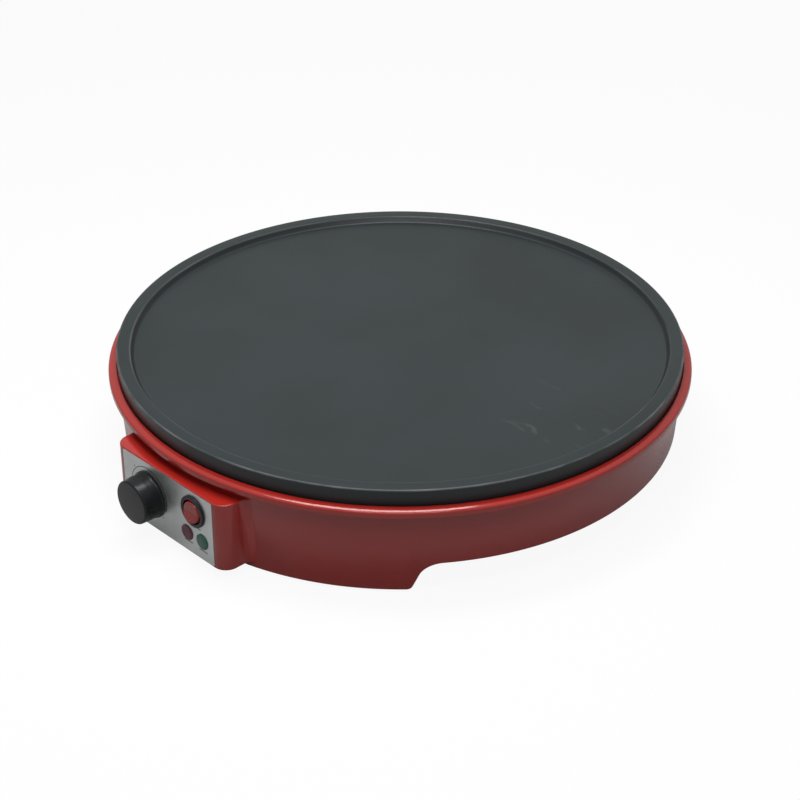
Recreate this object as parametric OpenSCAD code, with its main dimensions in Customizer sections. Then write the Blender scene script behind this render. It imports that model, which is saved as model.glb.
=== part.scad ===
// Electric crepe maker with a fixed round hotplate on a moulded base.
// The plate turns about Z, the control panel faces -Y, and Z = 0 is the table.

/* [Cooking plate] */
// Outer diameter of the plate
plate_d = 400; // [370:1:440]
// Width of the flat raised ring round the edge
ring_w = 9.5; // [7:0.5:14]
// Radial run of the slope inside the ring
step_run = 3; // [1.5:0.5:6]
// Depth of the cooking surface below the ring
step_drop = 4.5; // [2:0.5:7]
// Thickness of the plate web
web_t = 5; // [4:0.5:7]
// Height of the outer side of the plate
side_h = 14; // [11:0.5:17]
// Radius lost over the side through casting draft
side_draft = 0.6; // [0.2:0.1:1]
// Radius of the top edge
edge_r = 0.8; // [0.4:0.1:1.5]
// Thickness of the locating skirt under the plate
skirt_t = 6.5; // [4:0.5:7]
// Radial step from the plate side in to the locating skirt
skirt_inset = 2.6; // [2.2:0.1:3.4]
// Drop of the locating skirt below the plate side
skirt_h = 4; // [2:0.5:5]

/* [Heating element] */
// Outside diameter of the tubular element
element_d = 8; // [6.5:0.5:9]
// Radius of the outer turn
outer_turn_r = 150; // [140:1:158]
// Radius of the inner turn
inner_turn_r = 90; // [80:1:100]
// Angle at which both turns start
turn_start = -40; // [-42:1:-34]
// Bend radius of the turned-down ends
end_bend_r = 12; // [10:1:14]
// Length of the straight turned-down ends
end_drop = 10; // [8:1:12]
// Gap between the element and its groove
element_clear = 0.1; // [0.05:0.05:0.3]
// Width of the cast track that holds a turn
track_w = 14; // [12:1:18]
// Thickness of the clamp bars
bar_t = 2; // [1.5:0.5:3]
// Width of the clamp bars
bar_w = 14; // [12:1:18]
// Length of the clamp bars past the middle of a turn
bar_over = 12; // [10:0.5:13]

/* [Heights] */
// Gap under the skirt, made by the rubber feet
foot_gap = 2; // [1:0.5:4]
// Height of the skirt arches above the skirt edge
arch_h = 20.6; // [16:0.2:24]
// Clear height between bottom cover and reflector
inner_h = 26.7; // [24:0.1:32]
// Depth of the reflector pan
pan_h = 8; // [6:0.5:10]
// Distance from the pan's edge in to its floor
pan_slope_inset = 24; // [20:0.5:28]
// Length of the spacers between reflector and plate
spacer_h = 6; // [5:0.5:8]
// Height of the plate bosses
boss_h = 12.5; // [11:0.5:15]
// Height of the plate top above the rim of the base
plate_stand = 12.2; // [10:0.2:13]

/* [Base housing] */
// Gap between plate edge and rim
rim_gap = 0.3; // [0.2:0.1:1]
// Width of the rolled rim
rim_w = 6; // [5:0.5:8]
// Fall of the rim from its inner to its outer edge
rim_fall = 4.8; // [3.5:0.1:6]
// Thickness of the rim lip
rim_t = 2.5; // [2:0.1:3]
// Overhang of the rim past the wall
rim_overhang = 5.8; // [4:0.1:6.2]
// Wall thickness of the mouldings
wall_t = 2.8; // [2.2:0.1:3.2]
// Draft of the outer wall in degrees
wall_draft = 3.75; // [2:0.25:5]
// Width of the inner ledge that carries the reflector
ledge_w = 22; // [20:0.5:26]
// Thickness of the ledge
ledge_t = 3; // [2.5:0.5:4]
// Gap between plate side and the seat under it
seat_gap = 0.7; // [0.5:0.1:1.2]
// Number of posts that carry reflector and cover
post_count = 6; // [6:6:12]
// Distance from the ledge's inner edge in to the post circle
post_inset = 10; // [9:0.5:12]
// Diameter of a post
post_d = 11; // [10:0.5:13]

/* [Skirt arches] */
// Half the span of an arch, along the table
arch_half = 130.7; // [110:1:140]
// Run of the sloping end of an arch
arch_slope = 7; // [3:0.5:12]
// Radius at the top of an arch end
arch_top_r = 13; // [8:0.5:16]
// Radius at the foot of an arch end
arch_foot_r = 3; // [1:0.5:4]

/* [Control box] */
// Width of the control box
box_w = 113.2; // [110:0.2:122]
// Distance from the top of the wall out to the box front
box_out = 10.8; // [9:0.1:16]
// Gap between the skirt edge level and the box bottom
box_lift = 5.2; // [2:0.1:6]
// Height of the control box
box_h = 50.6; // [48:0.2:51]
// Radius of the front corners
box_corner_r = 10; // [8:0.5:14]
// Radius of the hollow blend from box to wall
box_blend_r = 7; // [4:0.5:10]
// Thickness of the wall behind the panel
front_t = 3; // [2.5:0.1:4]

/* [Control panel] */
// Width of the panel
panel_w = 93; // [92:0.5:96]
// Height of the panel
panel_h = 49; // [46:0.5:49]
// Thickness of the panel
panel_t = 1.5; // [1:0.1:2]
// Height of the panel's face above the box front
panel_proud = 0.2; // [0.1:0.1:0.5]
// Corner radius of the panel
panel_r = 1.2; // [0.5:0.1:3]
// Gap round the panel
panel_gap = 0.15; // [0.1:0.05:0.3]
// Knob centre, across from the panel centre
knob_x = -19.4; // [-24:0.1:-19]
// Knob centre, up from the panel centre
knob_up = 0.8; // [-1:0.1:2]
// Switch centre, across from the panel centre
switch_x = 27.3; // [26:0.1:29]
// Switch centre, up from the panel centre
switch_up = 9.9; // [9:0.1:11]
// Distance between the two lamps
lamp_pitch = 15.5; // [14:0.1:17]
// Lamp centres, down from the panel centre
lamp_down = 10.3; // [9.5:0.1:12]

/* [Knob and thermostat] */
// Diameter of the knob's flared foot
knob_d = 33.4; // [32.4:0.2:34]
// Diameter of the knob's face
knob_face_d = 31; // [29.6:0.2:31.6]
// Diameter of the knob's waist above the foot
knob_waist_d = 31.8; // [30:0.2:32]
// Height of the flare at the knob's foot
knob_flare_h = 2.5; // [2:0.5:6]
// Height of the knob
knob_h = 15; // [14:0.5:18]
// Gap between panel and knob
knob_gap = 0.8; // [0.5:0.1:1.5]
// Thickness of the knob wall
knob_wall = 2; // [1.5:0.1:2.5]
// Diameter of the thermostat shaft
shaft_d = 6; // [6:0.1:6.4]
// Depth of the flat on the shaft
shaft_flat = 1.5; // [1:0.1:2]
// Running clearance of the shaft in its neck
shaft_clear = 0.05; // [0.02:0.01:0.1]
// Outside diameter of the thermostat neck
neck_d = 9.5; // [9:0.1:10]
// Distance between the thermostat screws
thermo_pitch = 28; // [27:0.5:29]
// Width of the thermostat body
thermo_w = 34; // [33:0.5:36]
// Height of the thermostat body
thermo_h = 30; // [28:0.5:32]
// Depth of the thermostat body
thermo_deep = 23.7; // [20:0.1:26]
// Thickness of the thermostat's mounting plate
thermo_plate_t = 2; // [1.5:0.1:3]
// Diameter of the capillary tube
capillary_d = 2; // [1.5:0.1:2.5]
// Bend radius of the capillary
capillary_bend = 8; // [6:0.5:9]
// Diameter of the sensing bulb
bulb_d = 6; // [5:0.1:7]
// Length of the sensing bulb
bulb_len = 60; // [50:1:70]

/* [Rocker switch] */
// Diameter of the bezel
bezel_d = 23; // [22:0.1:24]
// Height of the bezel above the panel
bezel_h = 1.8; // [1.4:0.1:2.2]
// Diameter of the switch body
switch_d = 19.8; // [19.6:0.1:20.4]
// Depth of the switch body behind the panel
switch_deep = 20; // [18:0.5:22]
// Diameter of the well that the rocker sits in
rocker_well_d = 17.6; // [17.4:0.1:17.8]
// Diameter of the rocker
rocker_d = 16.4; // [16:0.1:16.6]
// Angle between the rocker's two faces and a flat one
rocker_dish = 8; // [6:0.5:9]
// Diameter of the rocker's pins
rocker_pin_d = 2; // [1.6:0.1:2.2]
// Running clearance of the rocker's pins
rocker_pin_clear = 0.05; // [0.02:0.01:0.1]

/* [Lamps] */
// Diameter of the lens flange
lens_d = 11.4; // [11:0.1:12]
// Height of the lens flange
lens_h = 0.8; // [0.6:0.1:1.2]
// Diameter of the lamp barrel
lamp_d = 9.8; // [9:0.1:10]
// Depth of the lamp barrel behind the panel
lamp_deep = 18; // [16:0.5:20]

/* [Bottom cover] */
// Thickness of the bottom cover
cover_t = 2.5; // [2:0.1:3]
// Gap between cover and housing
cover_gap = 0.4; // [0.3:0.1:0.8]
// Gap between arch edge and cover
cover_lift = 0.4; // [0.2:0.1:2]
// Wall of the well under the control box
well_wall = 2; // [1.6:0.1:2.4]
// Distance from the cover's edge in to the back of the well
well_inset = 45.7; // [40:0.1:50]
// Height of the well's front lip
lip_h = 6; // [4:0.5:7]
// Distance from the back of the well to its vents
well_vent_gap = 12; // [8:1:16]
// Length of the well's vents
well_vent_len = 26; // [20:1:30]
// Distance between the well's vents
well_vent_pitch = 12; // [10:0.5:13]
// Number of radial vents
vent_count = 24; // [12:1:30]
// Width of a vent
vent_w = 5; // [4:0.5:6]
// Inner radius of the ring of vents
vent_r0 = 58; // [50:1:65]
// Outer radius of the ring of vents
vent_r1 = 104; // [90:1:110]
// Distance from the cover's edge in to the centres of the feet
foot_inset = 19.7; // [17:0.1:24]
// Angle of the feet from the front and back
foot_angle = 36; // [32:1:38]
// Diameter of a foot pillar
pillar_d = 23; // [20:0.5:24]
// Diameter of a rubber foot
foot_d = 18; // [16:0.5:20]
// Thickness of a rubber foot
foot_t = 3.5; // [3:0.5:5]
// Diameter of the foot's stem
stem_d = 8; // [6:0.5:9]

/* [Fasteners] */
// Diameter of the large screws
screw5_d = 5; // [4:0.5:5]
// Diameter of the small screws
screw4_d = 4; // [3:0.5:4]
// Height of the screw heads
head_h = 2.4; // [2:0.1:3]
// Gap between a screw and the hole it bites in
thread_clear = 0.05; // [0.03:0.01:0.1]
// Gap between a screw and a clearance hole
hole_clear = 0.3; // [0.2:0.05:0.5]
// Length of screw in a plastic post
screw_bite = 10; // [8:0.5:11]

/* [Cord inlet] */
// Bore of the inlet bush
gland_bore = 8.5; // [7:0.1:10]
// Diameter of the bush barrel
gland_d = 16; // [14:0.5:18]
// Diameter of the bush flange
gland_flange_d = 22; // [20:0.5:24]
// Thickness of the bush flange
gland_flange_t = 2.5; // [2:0.1:3]
// Width of the bush nut across its flats
gland_nut_w = 22; // [21:0.5:24]
// Thickness of the bush nut
gland_nut_t = 5; // [4:0.5:6]
// Distance from the cover's edge in to the terminal block
block_inset = 65.7; // [60:0.1:70]

/* [Hidden] */
$fn = 96;
eps = 0.1;

// Heights, from the table up
z_cover = foot_gap + arch_h + cover_lift;
z_cover_top = z_cover + cover_t;
pan_t = 1;
z_pan = z_cover_top + inner_h;
z_ledge = z_pan + pan_h;
z_boss = z_pan + pan_t + spacer_h;
z_web = z_boss + boss_h;
z_surface = z_web + web_t;
z_top = z_surface + step_drop;
z_side = z_top - side_h;
z_skirt = z_side - skirt_h;
z_rim = z_top - plate_stand;
z_lip = z_rim - rim_fall;
z_seat = z_side - seat_gap;
z_wall_top = z_lip - 2;
z_turn = z_web - element_d / 2 - 0.5;
z_bar = z_turn - element_d / 2 - bar_t;
z_element_end = z_turn - end_bend_r - end_drop;
z_box = foot_gap + box_lift;
z_box_top = z_box + box_h;
z_panel = z_box + box_h / 2;

// Radii
plate_r = plate_d / 2;
rim_ir = plate_r + rim_gap;
rim_or = rim_ir + rim_w;
wall_top_r = rim_or - rim_overhang;
box_reach = wall_top_r + box_out;
function wall_r(z) = wall_top_r - (z_wall_top - z) * tan(wall_draft);
ledge_ir = wall_r(z_ledge) - wall_t - ledge_w;
post_r = ledge_ir + post_inset;
pan_r = ledge_ir + ledge_w - 5;
boss_circle_r = (outer_turn_r + inner_turn_r) / 2;
cover_r = wall_r(z_cover) - wall_t - cover_gap;
well_back = cover_r - well_inset;
foot_circle_r = cover_r - foot_inset;
skirt_or = plate_r - skirt_inset - side_draft;
skirt_ir = skirt_or - skirt_t;

// Fasteners
screw5_r = screw5_d / 2;
screw4_r = screw4_d / 2;
head5_r = screw5_d;
head4_r = screw4_d;
spacer_r = 6;
turn_sweep = 270;
pin_r = 1.3;
insulator_h = 4;
tab_w = 6.3;
tab_t = 0.8;
tab_len = 8;
boss_r = 8;
clamp_boss_r = 6;
mount_angles = [45, 135, 225, 315];
clamp_angles = [0, 90, 180];
post_angles = [for (i = [0 : post_count - 1]) i * 360 / post_count];

// Control box and panel, out = distance in front of the box face
recess = panel_t - panel_proud;
out_wall = -recess - front_t;
out_face = panel_proud;
neck_r = neck_d / 2;
shaft_r = shaft_d / 2;
out_knob = out_face + knob_gap;
knob_z = z_panel + knob_up;
switch_z = z_panel + switch_up;
lamp_z = z_panel - lamp_down;
box_in = box_w / 2 - wall_t;
inner_front = box_reach + out_wall;
out_pivot = out_face + 0.3;
hole_r4 = screw4_r + thread_clear;

// Sensing bulb, capillary and thermal fuse
bulb_x = knob_x + 10;
bulb_z = z_web - bulb_d / 2;
bulb_y = -140;
capillary_z = knob_z + 11.5;
thermo_back = -box_reach - out_wall + thermo_plate_t + thermo_deep;
clip_t = 2;
clip_boss_r = 4.5;
clip_reach = bulb_d / 2 + clip_boss_r + 3.5;
clip_y = bulb_y + bulb_len / 2;
fuse_r = 2;
fuse_y = -40;
fuse_len = 14;
fuse_boss_y = fuse_y + fuse_r + clip_boss_r + 8;
lead_r = 0.7;
lead_bend = 4;
fuse_lead_x = fuse_len / 2 + 2 * lead_bend;

// Cord inlet and earth
gland_z = z_cover_top + inner_h * 0.65;
gland_pad = wall_r(gland_z) + 1.2;
gland_inside = wall_r(gland_z) - wall_t - 3;
earth_at = [70, 60];
block = [16, 34, 14];
block_y = cover_r - block_inset;

// The model stands with its bounding box centred on X = Y = 0
shift_y = (box_reach + out_knob + knob_h - rim_or) / 2;

// Points of an arc about [x, y], both ends included
function arc(x, y, r, a0, a1, n = 8) =
    [for (i = [0 : n]) let (a = a0 + (a1 - a0) * i / n) [x + r * cos(a), y + r * sin(a)]];

// Points of a quarter of an ellipse, both ends included
function quarter(x, y, rx, ry, n = 10) =
    [for (i = [0 : n]) [x + rx * cos(90 * i / n), y + ry * sin(90 * i / n)]];

// The same points in the opposite order
function backwards(points) = [for (i = [len(points) - 1 : -1 : 0]) points[i]];

// Points on the +X side, closed by their mirror image on the -X side
function mirrored(side) = concat(side, [for (p = backwards(side)) [-p[0], p[1]]]);

// Puts children in the panel's own axes: X across, Y up, Z out of the panel
module on_panel(x, z) {
    translate([x, -box_reach, z]) rotate([90, 0, 0]) children();
}

// A cylinder from height a to height b
module post(r, a, b) {
    translate([0, 0, a]) cylinder(r = r, h = b - a);
}

// Copies children to a radius at each of the angles
module around(r, angles) {
    for (a = angles) rotate([0, 0, a]) translate([r, 0, 0]) children();
}

// A tube bent to radius r about the Z axis, from +X through the angle
module bent_tube(r, angle, tube_r) {
    rotate_extrude(angle = angle) translate([r, 0]) circle(r = tube_r);
}

// Puts children at the turned-down end of the turn with radius r
module at_end(r) {
    rotate([0, 0, turn_start]) translate([r, -end_bend_r, 0]) children();
}

// A round screw with its head below z and its tip above
module screw_up(r, head_r, z, tip) {
    difference() {
        union() {
            post(r, z, tip);
            post(head_r, z - head_h, z);
        }
        cross_slot(head_r, z - head_h);
    }
}

// A flat push-on terminal that hangs down from Z = 0
module tab(width = tab_w) {
    translate([-width / 2, -tab_t / 2, -tab_len]) cube([width, tab_t, tab_len]);
}

// The cross recess in the lower face of a screw head
module cross_slot(head_r, z) {
    for (a = [0, 90]) rotate([0, 0, a])
        translate([-head_r * 0.55, -0.5, z - eps]) cube([head_r * 1.1, 1, 1.1 + eps]);
}

// ---- Hotplate ----

module plate_body() {
    rotate_extrude() polygon(concat(
        [[0, z_web], [0, z_surface], [plate_r - ring_w - step_run - 1, z_surface]],
        [[plate_r - ring_w - step_run + 0.2, z_surface + 0.4], [plate_r - ring_w - 0.5, z_top - 0.3]],
        [[plate_r - ring_w, z_top]],
        backwards(quarter(plate_r - edge_r, z_top - edge_r, edge_r, edge_r, 5)),
        [[plate_r - side_draft, z_side], [skirt_or, z_side], [skirt_or, z_skirt]],
        [[skirt_ir, z_skirt], [skirt_ir, z_web - 4], [skirt_ir - 4, z_web]]
    ));
}

module cooking_plate() {
    color([0.25, 0.27, 0.28]) difference() {
        union() {
            plate_body();
            for (r = [outer_turn_r, inner_turn_r])
                rotate([0, 0, turn_start + 3]) rotate_extrude(angle = turn_sweep - 6)
                    translate([r - track_w / 2, z_turn]) square([track_w, z_web - z_turn + eps]);
            around(boss_circle_r, mount_angles) post(boss_r, z_boss, z_web + eps);
            around(boss_circle_r, clamp_angles) post(clamp_boss_r, z_bar + bar_t, z_web + eps);
            translate([bulb_x + clip_reach, clip_y, 0]) post(clip_boss_r, bulb_z - bulb_d / 2, z_web + eps);
            translate([0, fuse_boss_y, 0]) post(clip_boss_r, z_web - 2 * fuse_r, z_web + eps);
        }
        for (r = [outer_turn_r, inner_turn_r])
            translate([0, 0, z_turn]) rotate([0, 0, turn_start])
                bent_tube(r, turn_sweep, element_d / 2 + element_clear);
        around(boss_circle_r, mount_angles) post(screw5_r + thread_clear, z_boss - eps, z_web - 1.5);
        around(boss_circle_r, clamp_angles) post(screw5_r + thread_clear, z_bar, z_web + 1);
        translate([bulb_x + clip_reach, clip_y, 0]) post(hole_r4, bulb_z - bulb_d, z_web + 1);
        translate([0, fuse_boss_y, 0]) post(hole_r4, z_web - 3 * fuse_r, z_web + 1);
    }
}

module heating_element() {
    tube_r = element_d / 2;
    color([0.45, 0.44, 0.42]) rotate([0, 0, turn_start]) translate([0, 0, z_turn]) union() {
        for (r = [outer_turn_r, inner_turn_r]) {
            bent_tube(r, turn_sweep, tube_r);
            translate([r, 0, -end_bend_r]) rotate([0, -90, 180]) bent_tube(end_bend_r, 90, tube_r);
            translate([r, -end_bend_r, 0]) post(tube_r, z_element_end - z_turn, -end_bend_r);
        }
        rotate([0, 0, turn_sweep]) translate([boss_circle_r, 0, 0])
            bent_tube((outer_turn_r - inner_turn_r) / 2, 180, tube_r);
    }
}

module element_insulators() {
    color("ivory") for (r = [outer_turn_r, inner_turn_r]) at_end(r) difference() {
        post(element_d / 2 - 0.4, z_element_end - insulator_h, z_element_end);
        post(pin_r + element_clear, z_element_end - insulator_h - 1, z_element_end + eps);
    }
}

module element_pins() {
    color("silver") for (r = [outer_turn_r, inner_turn_r]) at_end(r) {
        post(pin_r, z_element_end - insulator_h - 3, z_element_end);
        translate([0, 0, z_element_end - insulator_h - 3]) tab();
    }
}

module element_clamps() {
    color([0.7, 0.7, 0.68]) around(boss_circle_r, clamp_angles) difference() {
        translate([-(outer_turn_r - inner_turn_r) / 2 - bar_over, -bar_w / 2, z_bar])
            cube([outer_turn_r - inner_turn_r + 2 * bar_over, bar_w, bar_t]);
        post(screw5_r + hole_clear, z_bar - eps, z_bar + bar_t + eps);
    }
}

module clamp_screws() {
    color("silver") around(boss_circle_r, clamp_angles)
        screw_up(screw5_r, head5_r, z_bar, z_web + 0.5);
}

// ---- Reflector and its fixings ----

module heat_reflector() {
    floor_r = pan_r - pan_slope_inset;
    color([0.72, 0.73, 0.74]) difference() {
        union() {
            rotate_extrude() polygon([
                [0, z_pan], [floor_r, z_pan], [floor_r + 6, z_ledge], [pan_r, z_ledge],
                [pan_r, z_ledge + pan_t], [floor_r + 5.5, z_ledge + pan_t],
                [floor_r - 0.5, z_pan + pan_t], [0, z_pan + pan_t]
            ]);
            translate([earth_at[0], earth_at[1], 0]) post(screw4_r, z_pan - 10, z_pan + eps);
        }
        around(boss_circle_r, mount_angles) through_pan(screw5_r + hole_clear);
        around(post_r, post_angles) post(screw4_r + hole_clear, z_ledge - 1, z_ledge + 2);
        for (r = [outer_turn_r, inner_turn_r]) at_end(r) through_pan(element_d / 2 + 2);
        translate([bulb_x, bulb_y - 2 * capillary_bend + 2, 0]) through_pan(capillary_d + 2);
        for (s = [-1, 1]) translate([s * fuse_lead_x, fuse_y, 0]) through_pan(3);
    }
}

module through_pan(r) {
    post(r, z_pan - 1, z_pan + pan_t + 1);
}

module reflector_screws() {
    color("silver") around(post_r, post_angles)
        translate([0, 0, z_ledge + pan_t]) rotate([180, 0, 0]) screw_up(screw4_r, head4_r - 0.2, 0, pan_t + screw_bite);
}

module plate_spacers() {
    color([0.8, 0.8, 0.8]) around(boss_circle_r, mount_angles) difference() {
        post(spacer_r, z_pan + pan_t, z_boss);
        post(screw5_r + hole_clear, z_pan, z_boss + eps);
    }
}

module plate_screws() {
    color("silver") around(boss_circle_r, mount_angles)
        screw_up(screw5_r, head5_r, z_pan, z_web - 2.5);
}

// ---- Temperature sensing ----

module sensing_bulb() {
    color([0.75, 0.6, 0.45]) translate([bulb_x, bulb_y, bulb_z]) rotate([-90, 0, 0]) rotate_extrude()
        polygon([[0, 0], [1.4, 0], [1.4, 3], [bulb_d / 2, 6], [bulb_d / 2, bulb_len - 2],
            [bulb_d / 2 - 2, bulb_len], [0, bulb_len]]);
}

module capillary_tube() {
    r = capillary_d / 2;
    up_y = bulb_y - 2 * capillary_bend + 2;
    color([0.72, 0.5, 0.35]) union() {
        translate([bulb_x, thermo_back, capillary_z]) rotate([-90, 0, 0])
            cylinder(r = r, h = up_y - capillary_bend - thermo_back);
        translate([bulb_x, up_y - capillary_bend, capillary_z + capillary_bend])
            rotate([0, 90, 0]) bent_tube(capillary_bend, 90, r);
        translate([bulb_x, up_y, 0]) post(r, capillary_z + capillary_bend, bulb_z - capillary_bend);
        translate([bulb_x, up_y + capillary_bend, bulb_z - capillary_bend])
            rotate([0, -90, 180]) bent_tube(capillary_bend, 90, r);
        translate([bulb_x, up_y + capillary_bend, bulb_z]) rotate([-90, 0, 0])
            cylinder(r = r, h = bulb_y - up_y - capillary_bend);
    }
}

module bulb_clip() {
    color([0.7, 0.7, 0.68]) translate([bulb_x, clip_y, bulb_z - bulb_d / 2 - clip_t]) difference() {
        translate([-bulb_d / 2 - 2, -5, 0]) cube([bulb_d / 2 + 2 + clip_reach + clip_boss_r, 10, clip_t]);
        translate([clip_reach, 0, 0]) post(screw4_r + hole_clear, -eps, clip_t + eps);
    }
}

module thermal_fuse() {
    color([0.8, 0.78, 0.7]) translate([-fuse_len / 2, fuse_y, z_web - fuse_r]) rotate([0, 90, 0])
        rotate_extrude() polygon([[0, 0], [fuse_r - 0.8, 0], [fuse_r, 1], [fuse_r, fuse_len - 1],
            [fuse_r - 0.8, fuse_len], [0, fuse_len]]);
}

module fuse_leads() {
    z_bend = z_web - fuse_r - lead_bend;
    color("silver") for (s = [0, 180]) translate([0, fuse_y, 0]) rotate([0, 0, s]) union() {
        translate([fuse_len / 2, 0, z_web - fuse_r]) rotate([0, 90, 0]) cylinder(r = lead_r, h = lead_bend);
        translate([fuse_len / 2 + lead_bend, 0, z_bend])
            rotate([90, 0, 0]) bent_tube(lead_bend, 90, lead_r);
        translate([fuse_lead_x, 0, 0]) post(lead_r, z_pan - 7, z_bend);
    }
}

module fuse_clip() {
    color([0.7, 0.7, 0.68]) translate([0, 0, z_web - 2 * fuse_r - clip_t]) difference() {
        translate([-4, fuse_y - fuse_r - 2, 0])
            cube([8, fuse_boss_y - fuse_y + fuse_r + 2 + clip_boss_r, clip_t]);
        translate([0, fuse_boss_y, 0]) post(screw4_r + hole_clear, -eps, clip_t + eps);
    }
}

module clip_screws() {
    color("silver") {
        translate([bulb_x + clip_reach, clip_y, 0])
            screw_up(screw4_r, head4_r, bulb_z - bulb_d / 2 - clip_t, z_web + 0.5);
        translate([0, fuse_boss_y, 0])
            screw_up(screw4_r, head4_r, z_web - 2 * fuse_r - clip_t, z_web + 0.5);
    }
}

// ---- Base housing ----

module housing_shell() {
    rotate_extrude() polygon(concat(
        [[wall_r(foot_gap), foot_gap], [wall_top_r, z_wall_top], [wall_top_r, z_lip + 0.8]],
        [[rim_or - rim_t, z_lip + 0.8], [rim_or - rim_t, z_lip - 0.7], [rim_or - 0.8, z_lip - 0.7]],
        quarter(rim_ir, z_lip, rim_w, rim_fall),
        [[rim_ir, z_seat], [wall_r(z_seat) - wall_t, z_seat]],
        [[wall_r(z_ledge) - wall_t, z_ledge], [ledge_ir, z_ledge], [ledge_ir, z_ledge - ledge_t]],
        [[wall_r(z_ledge - ledge_t) - wall_t, z_ledge - ledge_t], [wall_r(foot_gap) - wall_t, foot_gap]]
    ));
}

// Outline of the control box in plan, with its hollow blends into the wall
module box_outline() {
    half = box_w / 2;
    reach_r = wall_r(z_box) + box_blend_r;
    blend_y = -sqrt(reach_r * reach_r - (half + box_blend_r) * (half + box_blend_r));
    lean = atan2(blend_y, half + box_blend_r);
    side = concat(
        arc(half - box_corner_r, -box_reach + box_corner_r, box_corner_r, -90, 0),
        arc(half + box_blend_r, blend_y, box_blend_r, 180, 180 + lean, 8),
        [[half + box_blend_r * 0.4, blend_y + 14]]
    );
    polygon(mirrored(side));
}

// Hollow of the control box in plan, inset from its side walls and front by gap
module box_hollow(gap, back) {
    half = box_in - gap;
    r = box_corner_r - wall_t;
    front = -inner_front + gap;
    side = concat(arc(half - r, front + r, r, -90, 0), [[half, -back]]);
    polygon(mirrored(side));
}

// Outline of one skirt arch, X along the table and Y up
module arch_outline() {
    top = arch_h;
    lean = atan2(arch_slope, arch_h);
    foot_x = arch_half;
    top_x = arch_half - arch_slope;
    t = tan((90 - lean) / 2);
    side = concat(
        [[foot_x + arch_foot_r * t, -20]],
        arc(foot_x + arch_foot_r * t, arch_foot_r, arch_foot_r, 270, 180 + lean, 4),
        arc(top_x - arch_top_r * t, top - arch_top_r, arch_top_r, lean, 90, 8)
    );
    polygon(mirrored(side));
}

module housing_posts() {
    around(post_r, post_angles) {
        post(post_d / 2, z_cover_top, z_ledge - ledge_t + eps);
        rib_x = post_d / 2 - 1;
        translate([rib_x, -1, z_cover_top + 12])
            cube([wall_r(z_cover_top + 12) - wall_t + 1 - post_r - rib_x, 2, z_ledge - ledge_t - z_cover_top - 12 + eps]);
    }
}

module base_housing() {
    color([0.78, 0.1, 0.09]) difference() {
        union() {
            housing_shell();
            difference() {
                translate([0, 0, z_box]) linear_extrude(box_h) box_outline();
                translate([0, 0, z_box - 1]) cylinder(r = wall_r(z_box) - wall_t / 2, h = box_h + 2);
            }
            housing_posts();
            gland_boss();
        }
        translate([0, 0, foot_gap - 1])
            linear_extrude(z_box_top - wall_t - foot_gap + 1) box_hollow(0, post_r - 4);
        on_panel(0, z_panel) translate([0, 0, -recess]) linear_extrude(recess + 1)
            panel_outline(panel_gap);
        on_panel(knob_x, knob_z) post(neck_r + 0.3, out_wall - 1, 0);
        on_panel(knob_x, knob_z) for (s = [-1, 1]) translate([s * thermo_pitch / 2, 0, 0]) {
            post(screw4_r + hole_clear, out_wall - 1, 0);
            translate([0, 0, -recess - 2]) cylinder(r1 = screw4_r + hole_clear, r2 = screw4_r * 2 + 0.3, h = 2.01);
        }
        on_panel(switch_x, switch_z) post(switch_d / 2 + 0.1, out_wall - 1, 0);
        for (s = [-1, 1]) on_panel(switch_x + s * lamp_pitch / 2, lamp_z) post(lamp_d / 2 + 0.1, out_wall - 1, 0);
        skirt_arches();
        around(post_r, post_angles) {
            post(hole_r4, z_ledge - screw_bite - 1, z_ledge + eps);
            post(hole_r4, z_cover_top - eps, z_cover_top + screw_bite + 1);
        }
        translate([0, gland_inside - 1, gland_z]) rotate([-90, 0, 0]) cylinder(d = gland_d + 0.2, h = 20);
    }
}

module gland_boss() {
    translate([0, gland_inside, gland_z]) rotate([-90, 0, 0])
        cylinder(r = gland_flange_d / 2 + 2, h = gland_pad - gland_inside);
}

module skirt_arches() {
    translate([-rim_or, 0, foot_gap]) rotate([90, 0, 90]) linear_extrude(2 * rim_or) arch_outline();
}

// ---- Bottom cover and feet ----

module at_feet() {
    for (a = [-90, 90], s = [-1, 1]) rotate([0, 0, a + s * foot_angle])
        translate([foot_circle_r, 0, 0]) children();
}

module bottom_cover() {
    z_well = z_box;
    color([0.13, 0.13, 0.14]) difference() {
        union() {
            post(cover_r, z_cover, z_cover_top);
            translate([0, 0, z_well]) linear_extrude(z_cover_top - z_well) box_hollow(cover_gap, well_back);
            at_feet() translate([0, 0, foot_gap + 0.5])
                cylinder(d1 = pillar_d - 2.5, d2 = pillar_d, h = z_cover + eps - foot_gap - 0.5);
        }
        translate([0, 0, z_well + well_wall]) linear_extrude(z_cover_top)
            box_hollow(cover_gap + well_wall, well_back + well_wall);
        translate([-box_in, -box_reach, z_well + lip_h])
            cube([2 * box_in, box_reach - cover_r + 12, z_cover_top]);
        at_feet() {
            translate([0, 0, foot_t + 3]) cylinder(d = pillar_d - 6, h = z_cover_top);
            post(stem_d / 2 + 0.1, 0, z_cover_top);
            post(foot_d / 2 + 0.3, 0, foot_t);
        }
        around(post_r, post_angles) post(screw4_r + hole_clear, z_cover - 1, z_cover_top + 1);
        around(vent_r0, [for (i = [0 : vent_count - 1]) i * 360 / vent_count])
            translate([0, -vent_w / 2, z_cover - 1]) cube([vent_r1 - vent_r0, vent_w, cover_t + 2]);
        translate([-vent_w / 2, -well_back - well_vent_gap - well_vent_len, z_well - 1])
            for (i = [-3 : 3]) translate([i * well_vent_pitch, 0, 0])
                cube([vent_w, well_vent_len, well_wall + 2]);
    }
}

module cover_screws() {
    color("silver") around(post_r, post_angles) screw_up(screw4_r, head4_r, z_cover, z_cover_top + screw_bite);
}

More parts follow.
